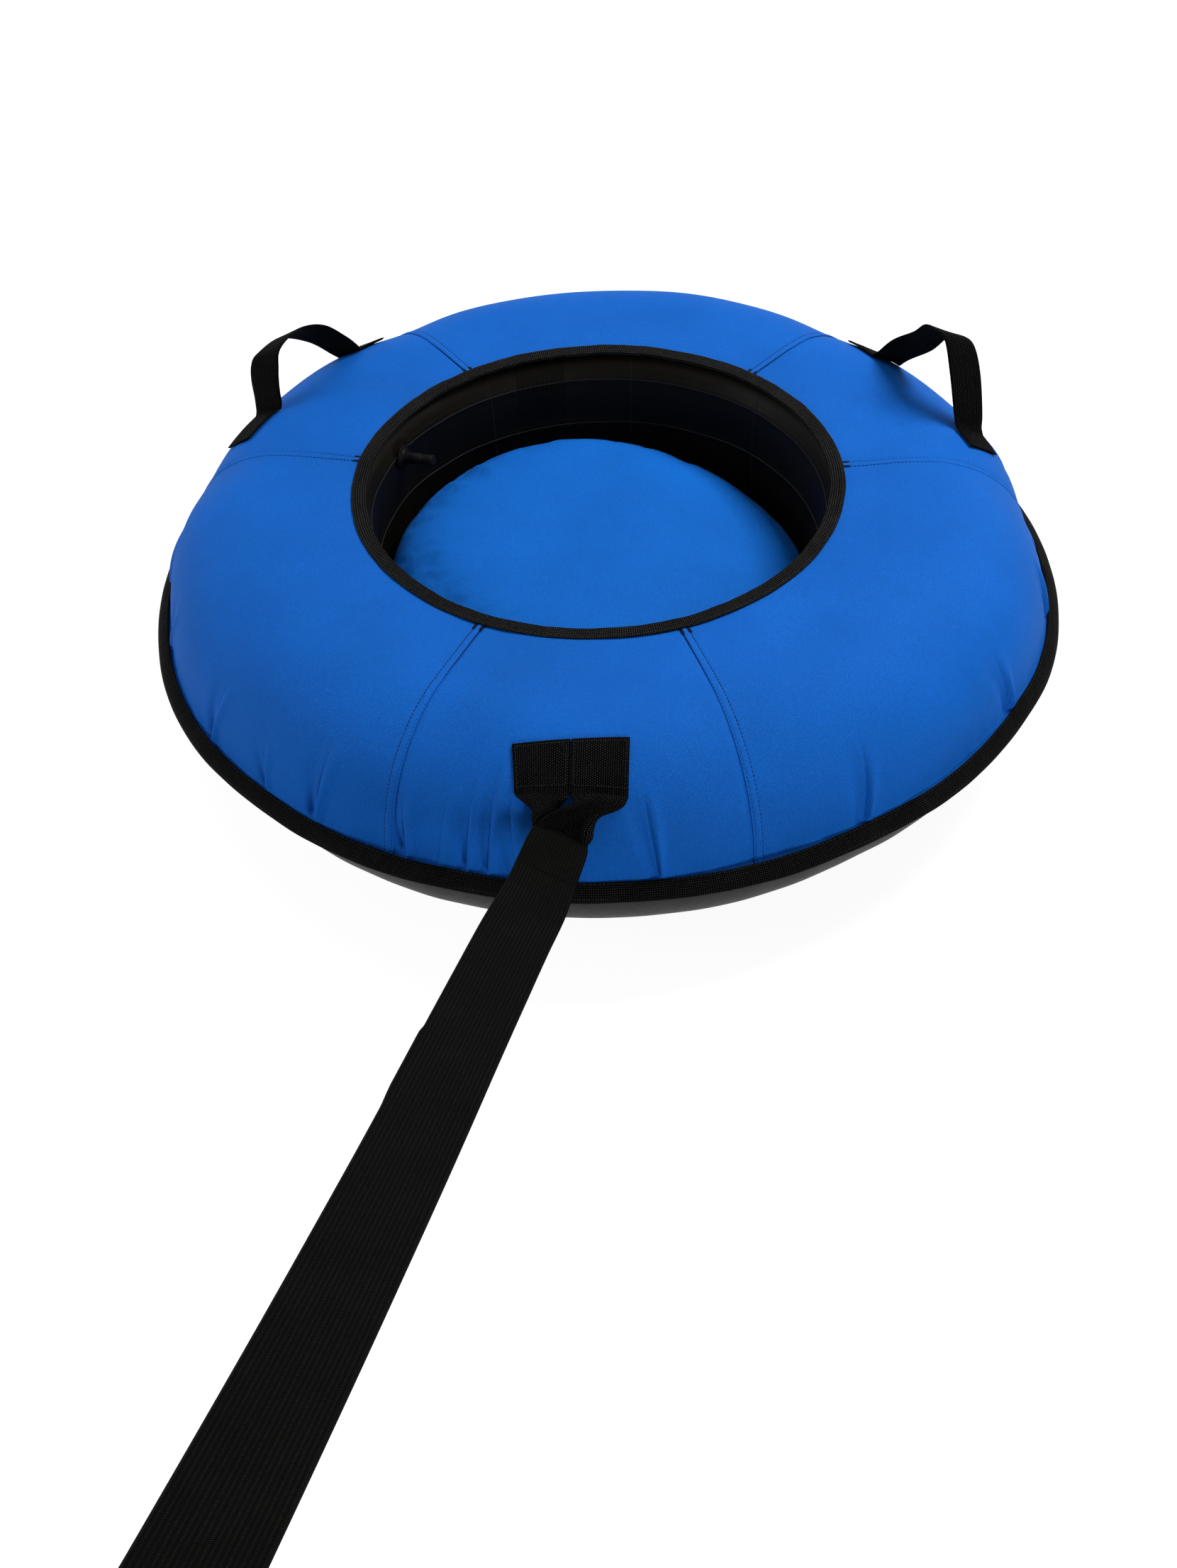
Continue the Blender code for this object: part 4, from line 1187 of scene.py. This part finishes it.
def seat_body(name, inset, material, foot):
    """Closed pad: a domed top, an upright side and a flat underside."""
    radius = seat_radius - inset
    turn = np.linspace(0, math.tau, 144, endpoint=False)[:, None]
    shares = np.concatenate([np.linspace(0.004, 0.84, 40), np.linspace(0.86, 1, 22)])
    side = np.linspace(seat_side - inset, foot, 14)[1:]
    under = np.linspace(0.96, 0.004, 14)
    reach = radius * np.concatenate([shares, side * 0 + 1, under])[None]
    low = np.concatenate([side, under * 0 + foot])[None] + 0 * turn
    height = np.concatenate([seat_height(shares[None], turn, inset), low], 1)
    points = around_axis(reach, turn, height)
    return grid_piece(name, points, even_uvs(points, True), material, True, flip=True)


def close_poles(piece):
    """Fill the small holes at a turned piece's poles."""
    shape = bmesh.new()
    shape.from_mesh(piece.data)
    bmesh.ops.holes_fill(shape, edges=[edge for edge in shape.edges if edge.is_boundary], sides=0)
    shape.to_mesh(piece.data)
    shape.free()
    piece.data.shade_smooth()
    return piece


def puff(piece, pressure, frames, cap):
    """Blow the pad up a little with a cloth simulation, and cap how far any point may move."""
    remesh = piece.modifiers.new("remesh", "REMESH")
    remesh.mode = "VOXEL"
    remesh.voxel_size = seat_voxel
    bake(piece)
    rest = np.array([vertex.co for vertex in piece.data.vertices])
    cloth = piece.modifiers.new("cloth", "CLOTH")
    cloth.settings.quality = 4
    cloth.settings.use_pressure = True
    cloth.settings.uniform_pressure_force = pressure
    cloth.settings.effector_weights.gravity = 0
    cloth.settings.tension_stiffness = 12
    cloth.settings.bending_stiffness = 0.4
    cloth.collision_settings.use_collision = False
    cloth.point_cache.frame_start = 1
    cloth.point_cache.frame_end = frames
    scene = bpy.context.scene
    for step in range(1, frames + 1):
        scene.frame_set(step)
    bake(piece)
    scene.frame_set(1)
    moved = np.array([vertex.co for vertex in piece.data.vertices])
    shift = moved - rest
    length = np.linalg.norm(shift, axis=1)
    shift *= (np.minimum(length, cap) / np.maximum(length, 1e-9))[:, None]
    return rest + shift


def bake(piece):
    """Replace a piece's mesh with its evaluated one and drop its modifiers."""
    bpy.context.view_layer.update()
    graph = bpy.context.evaluated_depsgraph_get()
    mesh = bpy.data.meshes.new_from_object(piece.evaluated_get(graph), depsgraph=graph)
    piece.modifiers.clear()
    piece.data = mesh


def radial_uvs(piece):
    """UVs in metres seen from above, and along the side where the pad stands upright."""
    mesh = piece.data
    layer = mesh.uv_layers.get("UVMap") or mesh.uv_layers.new(name="UVMap")
    corner = np.zeros(len(mesh.loops), int)
    mesh.loops.foreach_get("vertex_index", corner)
    place = np.zeros(len(mesh.vertices) * 3)
    mesh.vertices.foreach_get("co", place)
    place = place.reshape(-1, 3)
    drop = np.maximum(seat_side - place[:, 2], 0)
    spread = 1 + drop / seat_radius
    layer.data.foreach_set("uv", (place[:, :2] * spread[:, None])[corner].astype(np.float32).ravel())


def add_seat(materials):
    """Foam pad and the cloth cover pulled over it."""
    foam = close_poles(seat_body("seat_foam", seat_foam_inset, materials["foam"], seat_foam_foot))
    settle(foam, "ring", "foam", "seat_pad")
    seat = close_poles(seat_body("seat_cover_cloth", seat_cloth_inset, materials["seat_cloth"], seat_foot))
    places = puff(seat, seat_pressure, seat_frames, seat_swell_cap)
    azimuth = np.degrees(np.arctan2(places[:, 1], places[:, 0]))
    radius = np.hypot(places[:, 0], places[:, 1])
    edge = smooth(radius, 0.15, 0.215) * smooth(places[:, 2], 0.08, 0.13)
    turn = np.radians(azimuth)
    places[:, 2] += ripple(turn, seat_folds) * edge * (1 - smooth(radius, 0.222, 0.2295))
    slack = np.sin(places[:, 0] * 21 + 0.7) * np.sin(places[:, 1] * 17 + 1.9)
    places[:, 2] += seat_hollow * slack * (1 - smooth(radius, 0.16, 0.22)) * smooth(places[:, 2], 0.12, 0.15)
    limit = seat_radius + seat_clearance
    squeeze = np.minimum(1, limit / np.maximum(radius, 1e-6))
    places[:, :2] *= squeeze[:, None]
    places[:, 2] = np.clip(places[:, 2], seat_foot, None)
    seat.data.vertices.foreach_set("co", places.astype(np.float32).ravel())
    seat.data.update()
    if not seat.data.materials:
        seat.data.materials.append(materials["seat_cloth"])
    finer = seat.modifiers.new("finer", "SUBSURF")
    finer.levels = 1
    finer.render_levels = 1
    bake(seat)
    radial_uvs(seat)
    seat.data.shade_smooth()
    settle(seat, "ring", "seat_cloth", "seat_cover")


def valve_frame():
    """Frame of the valve, whose Z runs out of the wall into the hole."""
    turn = valve_axis.to_track_quat("Z", "Y").to_matrix().to_4x4()
    return Matrix.Translation(valve_foot) @ turn


def add_valve(materials):
    """Rubber boot, threaded stem with its core and pin, and a ribbed cap."""
    matrix = valve_frame()
    seat = 0.0011
    boot = [(0.0041, 0.0246), (0.0050, 0.0248), (0.0056, 0.0240), (0.0062, 0.0140), (0.0074, 0.0062),
            (0.0086, 0.0036), (0.0102, 0.0028), (0.0121, 0.0026), (0.0127, 0.0021), (0.0127, seat + 0.0004),
            (0.0122, seat), (0.0062, seat), (0.0062, -0.0022), (0.0041, -0.0022)]
    base = turned("valve_boot", boot, materials["valve_rubber"], matrix, valve_sides, True)
    settle(base, "ring", "tube_rubber", "valve_base")
    threads = []
    pitch = 0.0009
    height = -0.0022
    while height < 0.0352:
        threads += [(0.0034, height), (0.0038, height + pitch * 0.35), (0.0038, height + pitch * 0.65)]
        height += pitch
    stem = [(0.0023, 0.036), (0.0033, 0.036)] + [(radius, level) for radius, level in threads[::-1]]
    stem += [(0.0034, -0.0022), (0.0023, -0.0022)]
    piece = turned("valve_stem_thread", stem, materials["brass"], matrix, valve_sides, True)
    settle(piece, "ring", "brass", "valve_stem")
    for node in ("valve_core", "valve_pin"):
        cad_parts[node].data.materials.clear()
        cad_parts[node].data.materials.append(materials["brass"])
    top = 0.0387
    cap = [(0.0002, top), (0.0040, top), (0.0049, top - 0.0003), (0.0054, top - 0.0011),
           (0.0054, top - 0.0110), (0.0056, top - 0.0114), (0.0056, top - 0.0127), (0.0052, top - 0.0130),
           (0.0042, top - 0.0130),
           (0.0042, top - 0.0016), (0.0002, top - 0.0016)]
    shell = close_poles(turned("valve_cap_shell", cap, materials["cap_plastic"], matrix, valve_sides, False))
    settle(shell, "cap", "cap_plastic", "valve_cap")
    tree, keys = rib_tree()
    values = {keys["count"]: 24, keys["radius"]: 0.0053, keys["height"]: 0.0094, keys["width"]: 0.0007,
              keys["finish"]: materials["cap_plastic"]}
    carrier = line_carrier("cap_rib_carrier", [[(0, 0, 0), (0, 0, 0.001)]])
    ribs = grown("valve_cap_ribs", carrier, tree, values)
    ribs.data.transform(matrix @ Matrix.Translation((0, 0, top - 0.0062)))
    settle(ribs, "cap", "cap_plastic")


def webbing_solid(name, upper, lower, length, share, half_width, material):
    """Closed webbing between an upper and a lower grid, with UVs in metres."""
    section = np.concatenate([upper, lower[:, ::-1]], 1)
    spots = np.concatenate([share, share[::-1], share[:1]]) * half_width
    uvs = np.stack(np.meshgrid(length, spots, indexing="ij"), -1)
    return grid_piece(name, section, uvs, material, False, True, caps=True)


def strip(name, centres, acrosses, facings, thickness, material, columns, rib=0.0):
    """Webbing strip through centres with its half width vectors, as one closed solid with rounded edges."""
    centres, acrosses, facings = (np.asarray(item, float) for item in (centres, acrosses, facings))
    share = np.linspace(-1, 1, columns)
    top = centres[:, None] + acrosses[:, None] * share[None, :, None]
    half = thickness / 2 * np.minimum(1, 0.35 + 14 * (1 - np.abs(share)))
    length = distance_along(centres)
    ribs = rib * np.cos(length * math.tau / rib_spacing)[:, None]
    rise = facings[:, None] * (half + ribs)[..., None]
    half_width = np.linalg.norm(acrosses, axis=1).mean()
    return webbing_solid(name, top + rise, top - rise, length, share, half_width, material)


def unit(vectors):
    """Vectors of length one."""
    vectors = np.asarray(vectors, float)
    return vectors / np.maximum(np.linalg.norm(vectors, axis=-1, keepdims=True), 1e-12)


def spline(points, count):
    """Smooth curve through points, evenly spaced."""
    points = np.asarray(points, float)
    ends = np.concatenate([2 * points[:1] - points[1:2], points, 2 * points[-1:] - points[-2:-1]])
    out = []
    for index in range(len(points) - 1):
        before, start, stop, after = ends[index:index + 4]
        for share in np.linspace(0, 1, 24, endpoint=False):
            out.append(0.5 * (2 * start + (stop - before) * share
                              + (2 * before - 5 * start + 4 * stop - after) * share ** 2
                              + (3 * start - before - 3 * stop + after) * share ** 3))
    out.append(points[-1])
    out = np.array(out)
    length = distance_along(out)
    even = np.linspace(0, length[-1], count)
    return at_distances(even, length, out)


def grip_path(azimuth, front, course):
    """Centre line, width vectors and facings of a grip from its near foot over the arch to its far foot."""
    turn = math.radians(azimuth)
    outward = np.array([math.cos(turn), math.sin(turn), 0])
    upward = np.array([0, 0, 1])
    slope = math.cos(math.radians(grip_foot_tilt)) * grip_width / 2

    def on_foot(side):
        inner = over_cover(azimuth, grip_root_reach - slope, front * side, grip_lift)
        outer = over_cover(azimuth, grip_root_reach + slope, front * side, grip_lift)
        return over_cover(azimuth, grip_root_reach, front * side, grip_lift), (outer - inner) / 2

    near, far = (on_foot(side)[0] for side in (grip_half_span, -grip_half_span))
    plan = spline(np.array(course), 150)
    share, height, shift, tilt = plan.T
    arch = near + (far - near) * share[:, None] + upward * height[:, None] + outward * shift[:, None]
    tilts = np.radians(tilt)
    across = (outward * np.cos(tilts)[:, None] - upward * np.sin(tilts)[:, None]) * grip_width / 2
    near_side = grip_half_span * (1 - 2 * share[0])
    far_side = grip_half_span * (1 - 2 * share[-1])
    rows = [on_foot(side) for side in np.linspace(grip_foot_end, near_side + 0.003, 30)]
    rows += list(zip(arch[5:-5], across[5:-5]))
    rows += [on_foot(side) for side in np.linspace(far_side - 0.003, -grip_foot_end, 30)]
    both = np.array([np.concatenate(row) for row in rows])
    length = distance_along(both[:, :3])
    even = np.linspace(0, length[-1], round(length[-1] / grip_step))
    both = at_distances(even, length, both)
    for _ in range(3):
        both[1:-1] = both[1:-1] * 0.5 + (both[:-2] + both[2:]) * 0.25
    centres, acrosses = both[:, :3], both[:, 3:]
    tangent = unit(np.gradient(centres, axis=0))
    facing = unit(np.cross(tangent, acrosses)) * -front
    return centres, acrosses, facing


def foot_rows(azimuth, front, near, far):
    """Box of stitches with a cross on a grip foot."""
    slope = math.cos(math.radians(grip_foot_tilt)) * grip_width / 2 - 0.004
    corners = [(near, -slope), (far, -slope), (far, slope), (near, slope)]
    loops = [corners + corners[:1], [corners[0], corners[2]], [corners[1], corners[3]]]
    rows = []
    for loop in loops:
        row = []
        for start, stop in zip(loop, loop[1:]):
            for share in np.linspace(0, 1, 9)[:-1]:
                side = start[0] + (stop[0] - start[0]) * share
                reach = grip_root_reach + start[1] + (stop[1] - start[1]) * share
                row.append(over_cover(azimuth, reach, front * side, stitch_lift))
        row.append(over_cover(azimuth, grip_root_reach + loop[-1][1], front * loop[-1][0], stitch_lift))
        rows.append(row)
    return rows


def add_grips(materials, sewing):
    """Each grip is one strip of webbing: a sewn foot, the arch and the other foot."""
    rows = []
    for side, (azimuth, front, course) in grip_places.items():
        centres, acrosses, facing = grip_path(azimuth, front, course)
        grip = strip(side + "_grip_webbing", centres, acrosses, facing, webbing_cloth,
                     materials["grip_webbing"], 15, grip_rib)
        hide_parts(side + "_grip_loop", side + "_grip_front_foot", side + "_grip_back_foot")
        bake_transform(grip)
        for end in (front, -front):
            rows += foot_rows(azimuth, end, grip_half_span + 0.007, grip_foot_end - 0.004)
    add_stitches("grip_foot_stitches", rows, foot_stitch, materials["tape_thread"], "ring", "webbing", sewing)


def on_fall(place):
    """Point of the hanging webbing, from thousandths sideways, along the fall and off its plane."""
    sideways, along, lift = (value / 1000 for value in place)
    fold, out, facing = (np.array(vector) for vector in (anchor_fold, anchor_out, anchor_facing))
    return fold + out * along + facing * lift + [sideways, 0, 0]


def refined(net, rows, columns):
    """Smooth grid through a coarse net of points."""
    net = np.asarray(net, float)
    wide = np.stack([spline(row, columns) for row in net])
    return np.stack([spline(wide[:, column], rows) for column in range(columns)], 1)


def webbing_skin(name, grid, material, thickness, facing, half_width):
    """Closed webbing piece of even thickness through a grid of points."""
    along, across = np.gradient(grid, axis=0), np.gradient(grid, axis=1)
    normal = unit(np.cross(along, across))
    normal = normal * np.where((normal @ facing).mean() < 0, -1, 1)
    share = np.linspace(-1, 1, grid.shape[1])
    half = thickness / 2 * np.minimum(1, 0.4 + 14 * (1 - np.abs(share)))
    upper = grid + normal * half[None, :, None]
    lower = grid - normal * half[None, :, None]
    length = distance_along(grid[:, grid.shape[1] // 2])
    return repair_normals(webbing_solid(name, upper, lower, length, share, half_width, material))


def on_pad(side, share, down, lift):
    """Point on a sewn pad, from the slit (0) to its outer edge (1) and down it (0 to 1)."""
    taper = pad_taper * down if side < 0 else 0
    across = side * (anchor_slit / 2 + (anchor_half - taper) * share)
    top = anchor_top_reach - anchor_top_lean * across
    reach = top + (anchor_bottom_reach - top) * down
    return over_cover(anchor_azimuth, reach, across, lift)


def add_anchor(materials, sewing):
    """The anchor strap: two sewn pads whose webbing hangs down, rolls up and meets in one bight."""
    facing = np.array(anchor_facing)
    rows = []
    for side, name, course in ((-1, "left", anchor_left_course), (1, "right", anchor_right_course)):
        shares = np.array([1, 0.75, 0.5, 0.25, 0]) if side < 0 else np.array([0, 0.25, 0.5, 0.75, 1])
        net = []
        for down in (0, 0.25, 0.5, 0.75, 0.97):
            line = []
            for share in shares:
                line.append(on_pad(side, share, down, pad_lift))
            net.append(line)
        net += [[on_fall(place) for place in line] for line in course]
        grid = refined(net, 150, 41)
        leg = webbing_skin("anchor_webbing_" + name, grid, materials["pad_webbing"], webbing_cloth, facing,
                           anchor_half / 2)
        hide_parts(f"anchor_{name}_end")
        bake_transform(leg)
        loop = ((0.07, 0.06), (0.07, 0.94), (0.86, 0.94), (0.86, 0.06), (0.07, 0.06))
        row = []
        for start, stop in zip(loop, loop[1:]):
            for step in np.linspace(0, 1, 12)[:-1]:
                down = start[0] + (stop[0] - start[0]) * step
                row.append(on_pad(side, start[1] + (stop[1] - start[1]) * step, down, pad_stitch_lift))
        rows.append(row)
    add_stitches("anchor_stitches", rows, pad_stitch, materials["tape_thread"], "ring", "webbing", sewing)
    add_bar(materials)


def add_bar(materials):
    """Gathered bight of the anchor strap, inside the tow strap's eye."""
    centre = on_fall(bar_centre)
    axis = unit(np.array(strap_across))
    facing = unit(np.array(anchor_facing) - axis * (np.array(anchor_facing) @ axis))
    level = np.cross(axis, facing)
    turn = np.linspace(0, math.tau, 40, endpoint=False)
    pleat = 1 + 0.10 * np.sin(turn * 5) + 0.05 * np.sin(turn * 9 + 1)
    along = np.linspace(-1, 1, 30)
    upright = facing * (np.cos(turn) * pleat * bar_radii[1])[:, None]
    ring = upright + level * (np.sin(turn) * pleat * bar_radii[0])[:, None]
    flare = 1 + 0.25 * along ** 4
    points = centre + axis * (along * bar_half_length)[:, None, None] + ring[None] * flare[:, None, None]
    bar = grid_piece("anchor_bight", points, even_uvs(points, False, True), materials["pad_webbing"],
                     False, True, caps=True)
    settle(repair_normals(bar), "tow_anchor", "webbing", "anchor_loop")


def repair_normals(piece):
    """Point a closed piece's faces outwards."""
    shape = bmesh.new()
    shape.from_mesh(piece.data)
    bmesh.ops.recalc_face_normals(shape, faces=shape.faces)
    shape.to_mesh(piece.data)
    shape.free()
    piece.data.shade_smooth()
    return piece


def strap_frames(points):
    """Unit across and facing vectors of the strap along points of its route."""
    tangent = unit(np.gradient(points, axis=0))
    across = np.array(strap_across)[None] - tangent * (tangent @ np.array(strap_across))[:, None]
    across = unit(across)
    return tangent, across, unit(np.cross(across, tangent))


def strap_route(count):
    """Dense points of the tow strap's route."""
    return spline(np.array([bight + step for step in strap_steps]), count)


def layered_section(half, thick, columns):
    """Section of two webbing layers on each other: places across and heights, with a notch at each edge."""
    share = np.linspace(-1, 1, columns)
    edge = np.minimum(1, 0.45 + 16 * (1 - np.abs(share)))
    upper = [(x * half, thick * e) for x, e in zip(share, edge)]
    notch_right = [(half * 0.996, thick * 0.16), (half * 0.975, 0.0), (half * 0.996, -thick * 0.16)]
    lower = [(x * half, -thick * e) for x, e in zip(share[::-1], edge[::-1])]
    notch_left = [(-half * 0.996, -thick * 0.16), (-half * 0.975, 0.0), (-half * 0.996, thick * 0.16)]
    return np.array(upper + notch_right + lower + notch_left)


def add_tow_strap(materials, sewing):
    """Doubled webbing from the anchor's bight: the folded eye, the free strap and the hand loop."""
    stations = 360
    route = strap_route(stations)
    tangent, across, facing = strap_frames(route)
    along = np.linspace(0, 1, stations)
    narrow = 1 - strap_narrowing * np.exp(-(along / 0.07) ** 2)
    section = layered_section(1.0, strap_layer, 41)
    x = section[None, :, 0] * (strap_width / 2) * narrow[:, None]
    z = section[None, :, 1] + 0 * x
    # The upper layer ends in a slanting edge part way down, and a soft crease crosses below it
    slant = along[:, None] - (0.345 + 0.085 * (section[None, :, 0] + 1))
    upper = section[None, :, 1] > 0
    z = z - strap_edge_drop * upper * smooth(slant, -0.002, 0.002)
    crease = along[:, None] - (0.520 + 0.022 * (section[None, :, 0] + 1))
    z = z - strap_crease_depth * upper * np.exp(-(crease / 0.004) ** 2) * smooth(section[None, :, 0], -0.2, 0.3)
    sway = strap_sway * np.sin(along * 19 + 0.7)[:, None] * (1 - section[None, :, 0] ** 2)
    step = strap_side_step * smooth(along, 0.335, 0.350) * (1 - smooth(along, 0.43, 0.47))
    x = x - step[:, None] * (section[None, :, 0] < -0.9)
    points = route[:, None] + across[:, None] * x[..., None] + facing[:, None] * (z + sway)[..., None]
    length = distance_along(route)
    spots = np.append(section[:, 0], section[0, 0]) * strap_width / 2
    uvs = np.stack(np.meshgrid(length, spots, indexing="ij"), -1)
    strap = grid_piece("tow_strap_webbing", points, uvs, materials["strap_webbing"], False, True, caps=True)
    repair_normals(strap)
    settle(strap, "tow_line", "webbing", "tow_strap")

    end = route[-1]
    steps = 160
    turn = np.linspace(0, math.tau, steps)
    reach = skin_gap + hand_loop_length * (1 - np.cos(turn)) / 2
    height = (strap_layer + skin_gap) / 2 * np.cos(turn / 2)
    height = height + hand_loop_half_opening * np.sin(turn) * np.sin(turn / 2) ** 1.5
    centres = end + tangent[-1] * reach[:, None] + facing[-1] * height[:, None]
    acrosses = np.repeat(across[-1:], steps, 0) * strap_width / 2
    faces_out = unit(np.cross(acrosses, unit(np.gradient(centres, axis=0))))
    hand = strip("hand_loop_webbing", centres, acrosses, faces_out, strap_layer,
                 materials["strap_webbing"], 25)
    repair_normals(hand)
    settle(hand, "tow_line", "webbing", "tow_handle")
    rows = []
    for place in (-0.0040, -0.0105):
        spot = end + tangent[-1] * place + facing[-1] * (strap_layer + 0.0004)
        half_row = strap_width / 2 - 0.003
        rows.append([spot + across[-1] * share * half_row for share in np.linspace(-1, 1, 12)])
    thread = materials["tape_thread"]
    add_stitches("hand_loop_stitches", rows, hand_stitch, thread, "tow_line", "webbing", sewing)
    add_eye(materials, route[0], tangent[0], across[0])


def add_eye(materials, start, tangent, side):
    """The strap's end, folded round the anchor's bight."""
    centre = on_fall(bar_centre)
    reach = start + tangent * eye_overlap - centre
    length = float(np.linalg.norm(reach))
    level = reach / length
    across = unit(side - level * (side @ level))
    normal = unit(np.cross(across, level))
    normal = normal * np.sign(normal @ np.array(anchor_facing))
    half_gap = (strap_layer + skin_gap) / 2 - 0.0001
    shares = np.linspace(1, 0.12, 44)
    apart = half_gap + (eye_fold_radius - half_gap) * (1 - smooth(shares, 0.08, 0.66))
    turns = np.radians(np.linspace(80, 280, 48))
    nose = np.stack([eye_fold_radius * np.cos(turns), eye_fold_radius * np.sin(turns)], 1)
    upper = np.stack([shares * length, apart], 1)
    lower = np.stack([shares[::-1] * length, -apart[::-1]], 1)
    outline = np.concatenate([upper, nose, lower])
    rows = []
    for along, height in outline:
        widening = 1 - math.exp(-max(along + eye_fold_radius, 0) / 0.011)
        half = eye_half_width + (strap_width / 2 * 0.945 - eye_half_width) * widening
        rows.append(np.concatenate([centre + level * along + normal * height, across * half]))
    even = spline(np.array(rows)[::2], 240)
    centres, acrosses = even[:, :3], even[:, 3:]
    share = np.linspace(-1, 1, 29)
    sag = 0.0011 * (np.cos(share * 4.2 + 0.6) - 0.4)
    grid = centres[:, None] + acrosses[:, None] * share[None, :, None]
    near_fold = np.exp(-((np.linspace(0, 1, 240) - 0.5) / 0.10) ** 2)
    grid = grid - level * (near_fold[:, None] * sag[None])[..., None]
    eye = webbing_skin("tow_eye_webbing", grid, materials["strap_webbing"], strap_layer, normal,
                       strap_width / 2)
    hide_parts("tow_eye")
    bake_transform(eye)


def main():
    """Build the scene in order: camera, cord, pieces, lights."""
    bpy.context.scene.view_settings.view_transform = "Standard"
    add_camera()
    materials = make_materials()
    sewing = stitch_tree()
    add_tow_strap(materials, sewing)
    add_anchor(materials, sewing)
    add_cover(materials)
    add_cover_stitches(materials, sewing)
    add_bindings(materials, sewing)
    add_base(materials)
    add_tube(materials)
    add_seat(materials)
    add_valve(materials)
    add_grips(materials, sewing)
    add_floor()
    add_lights()


main()
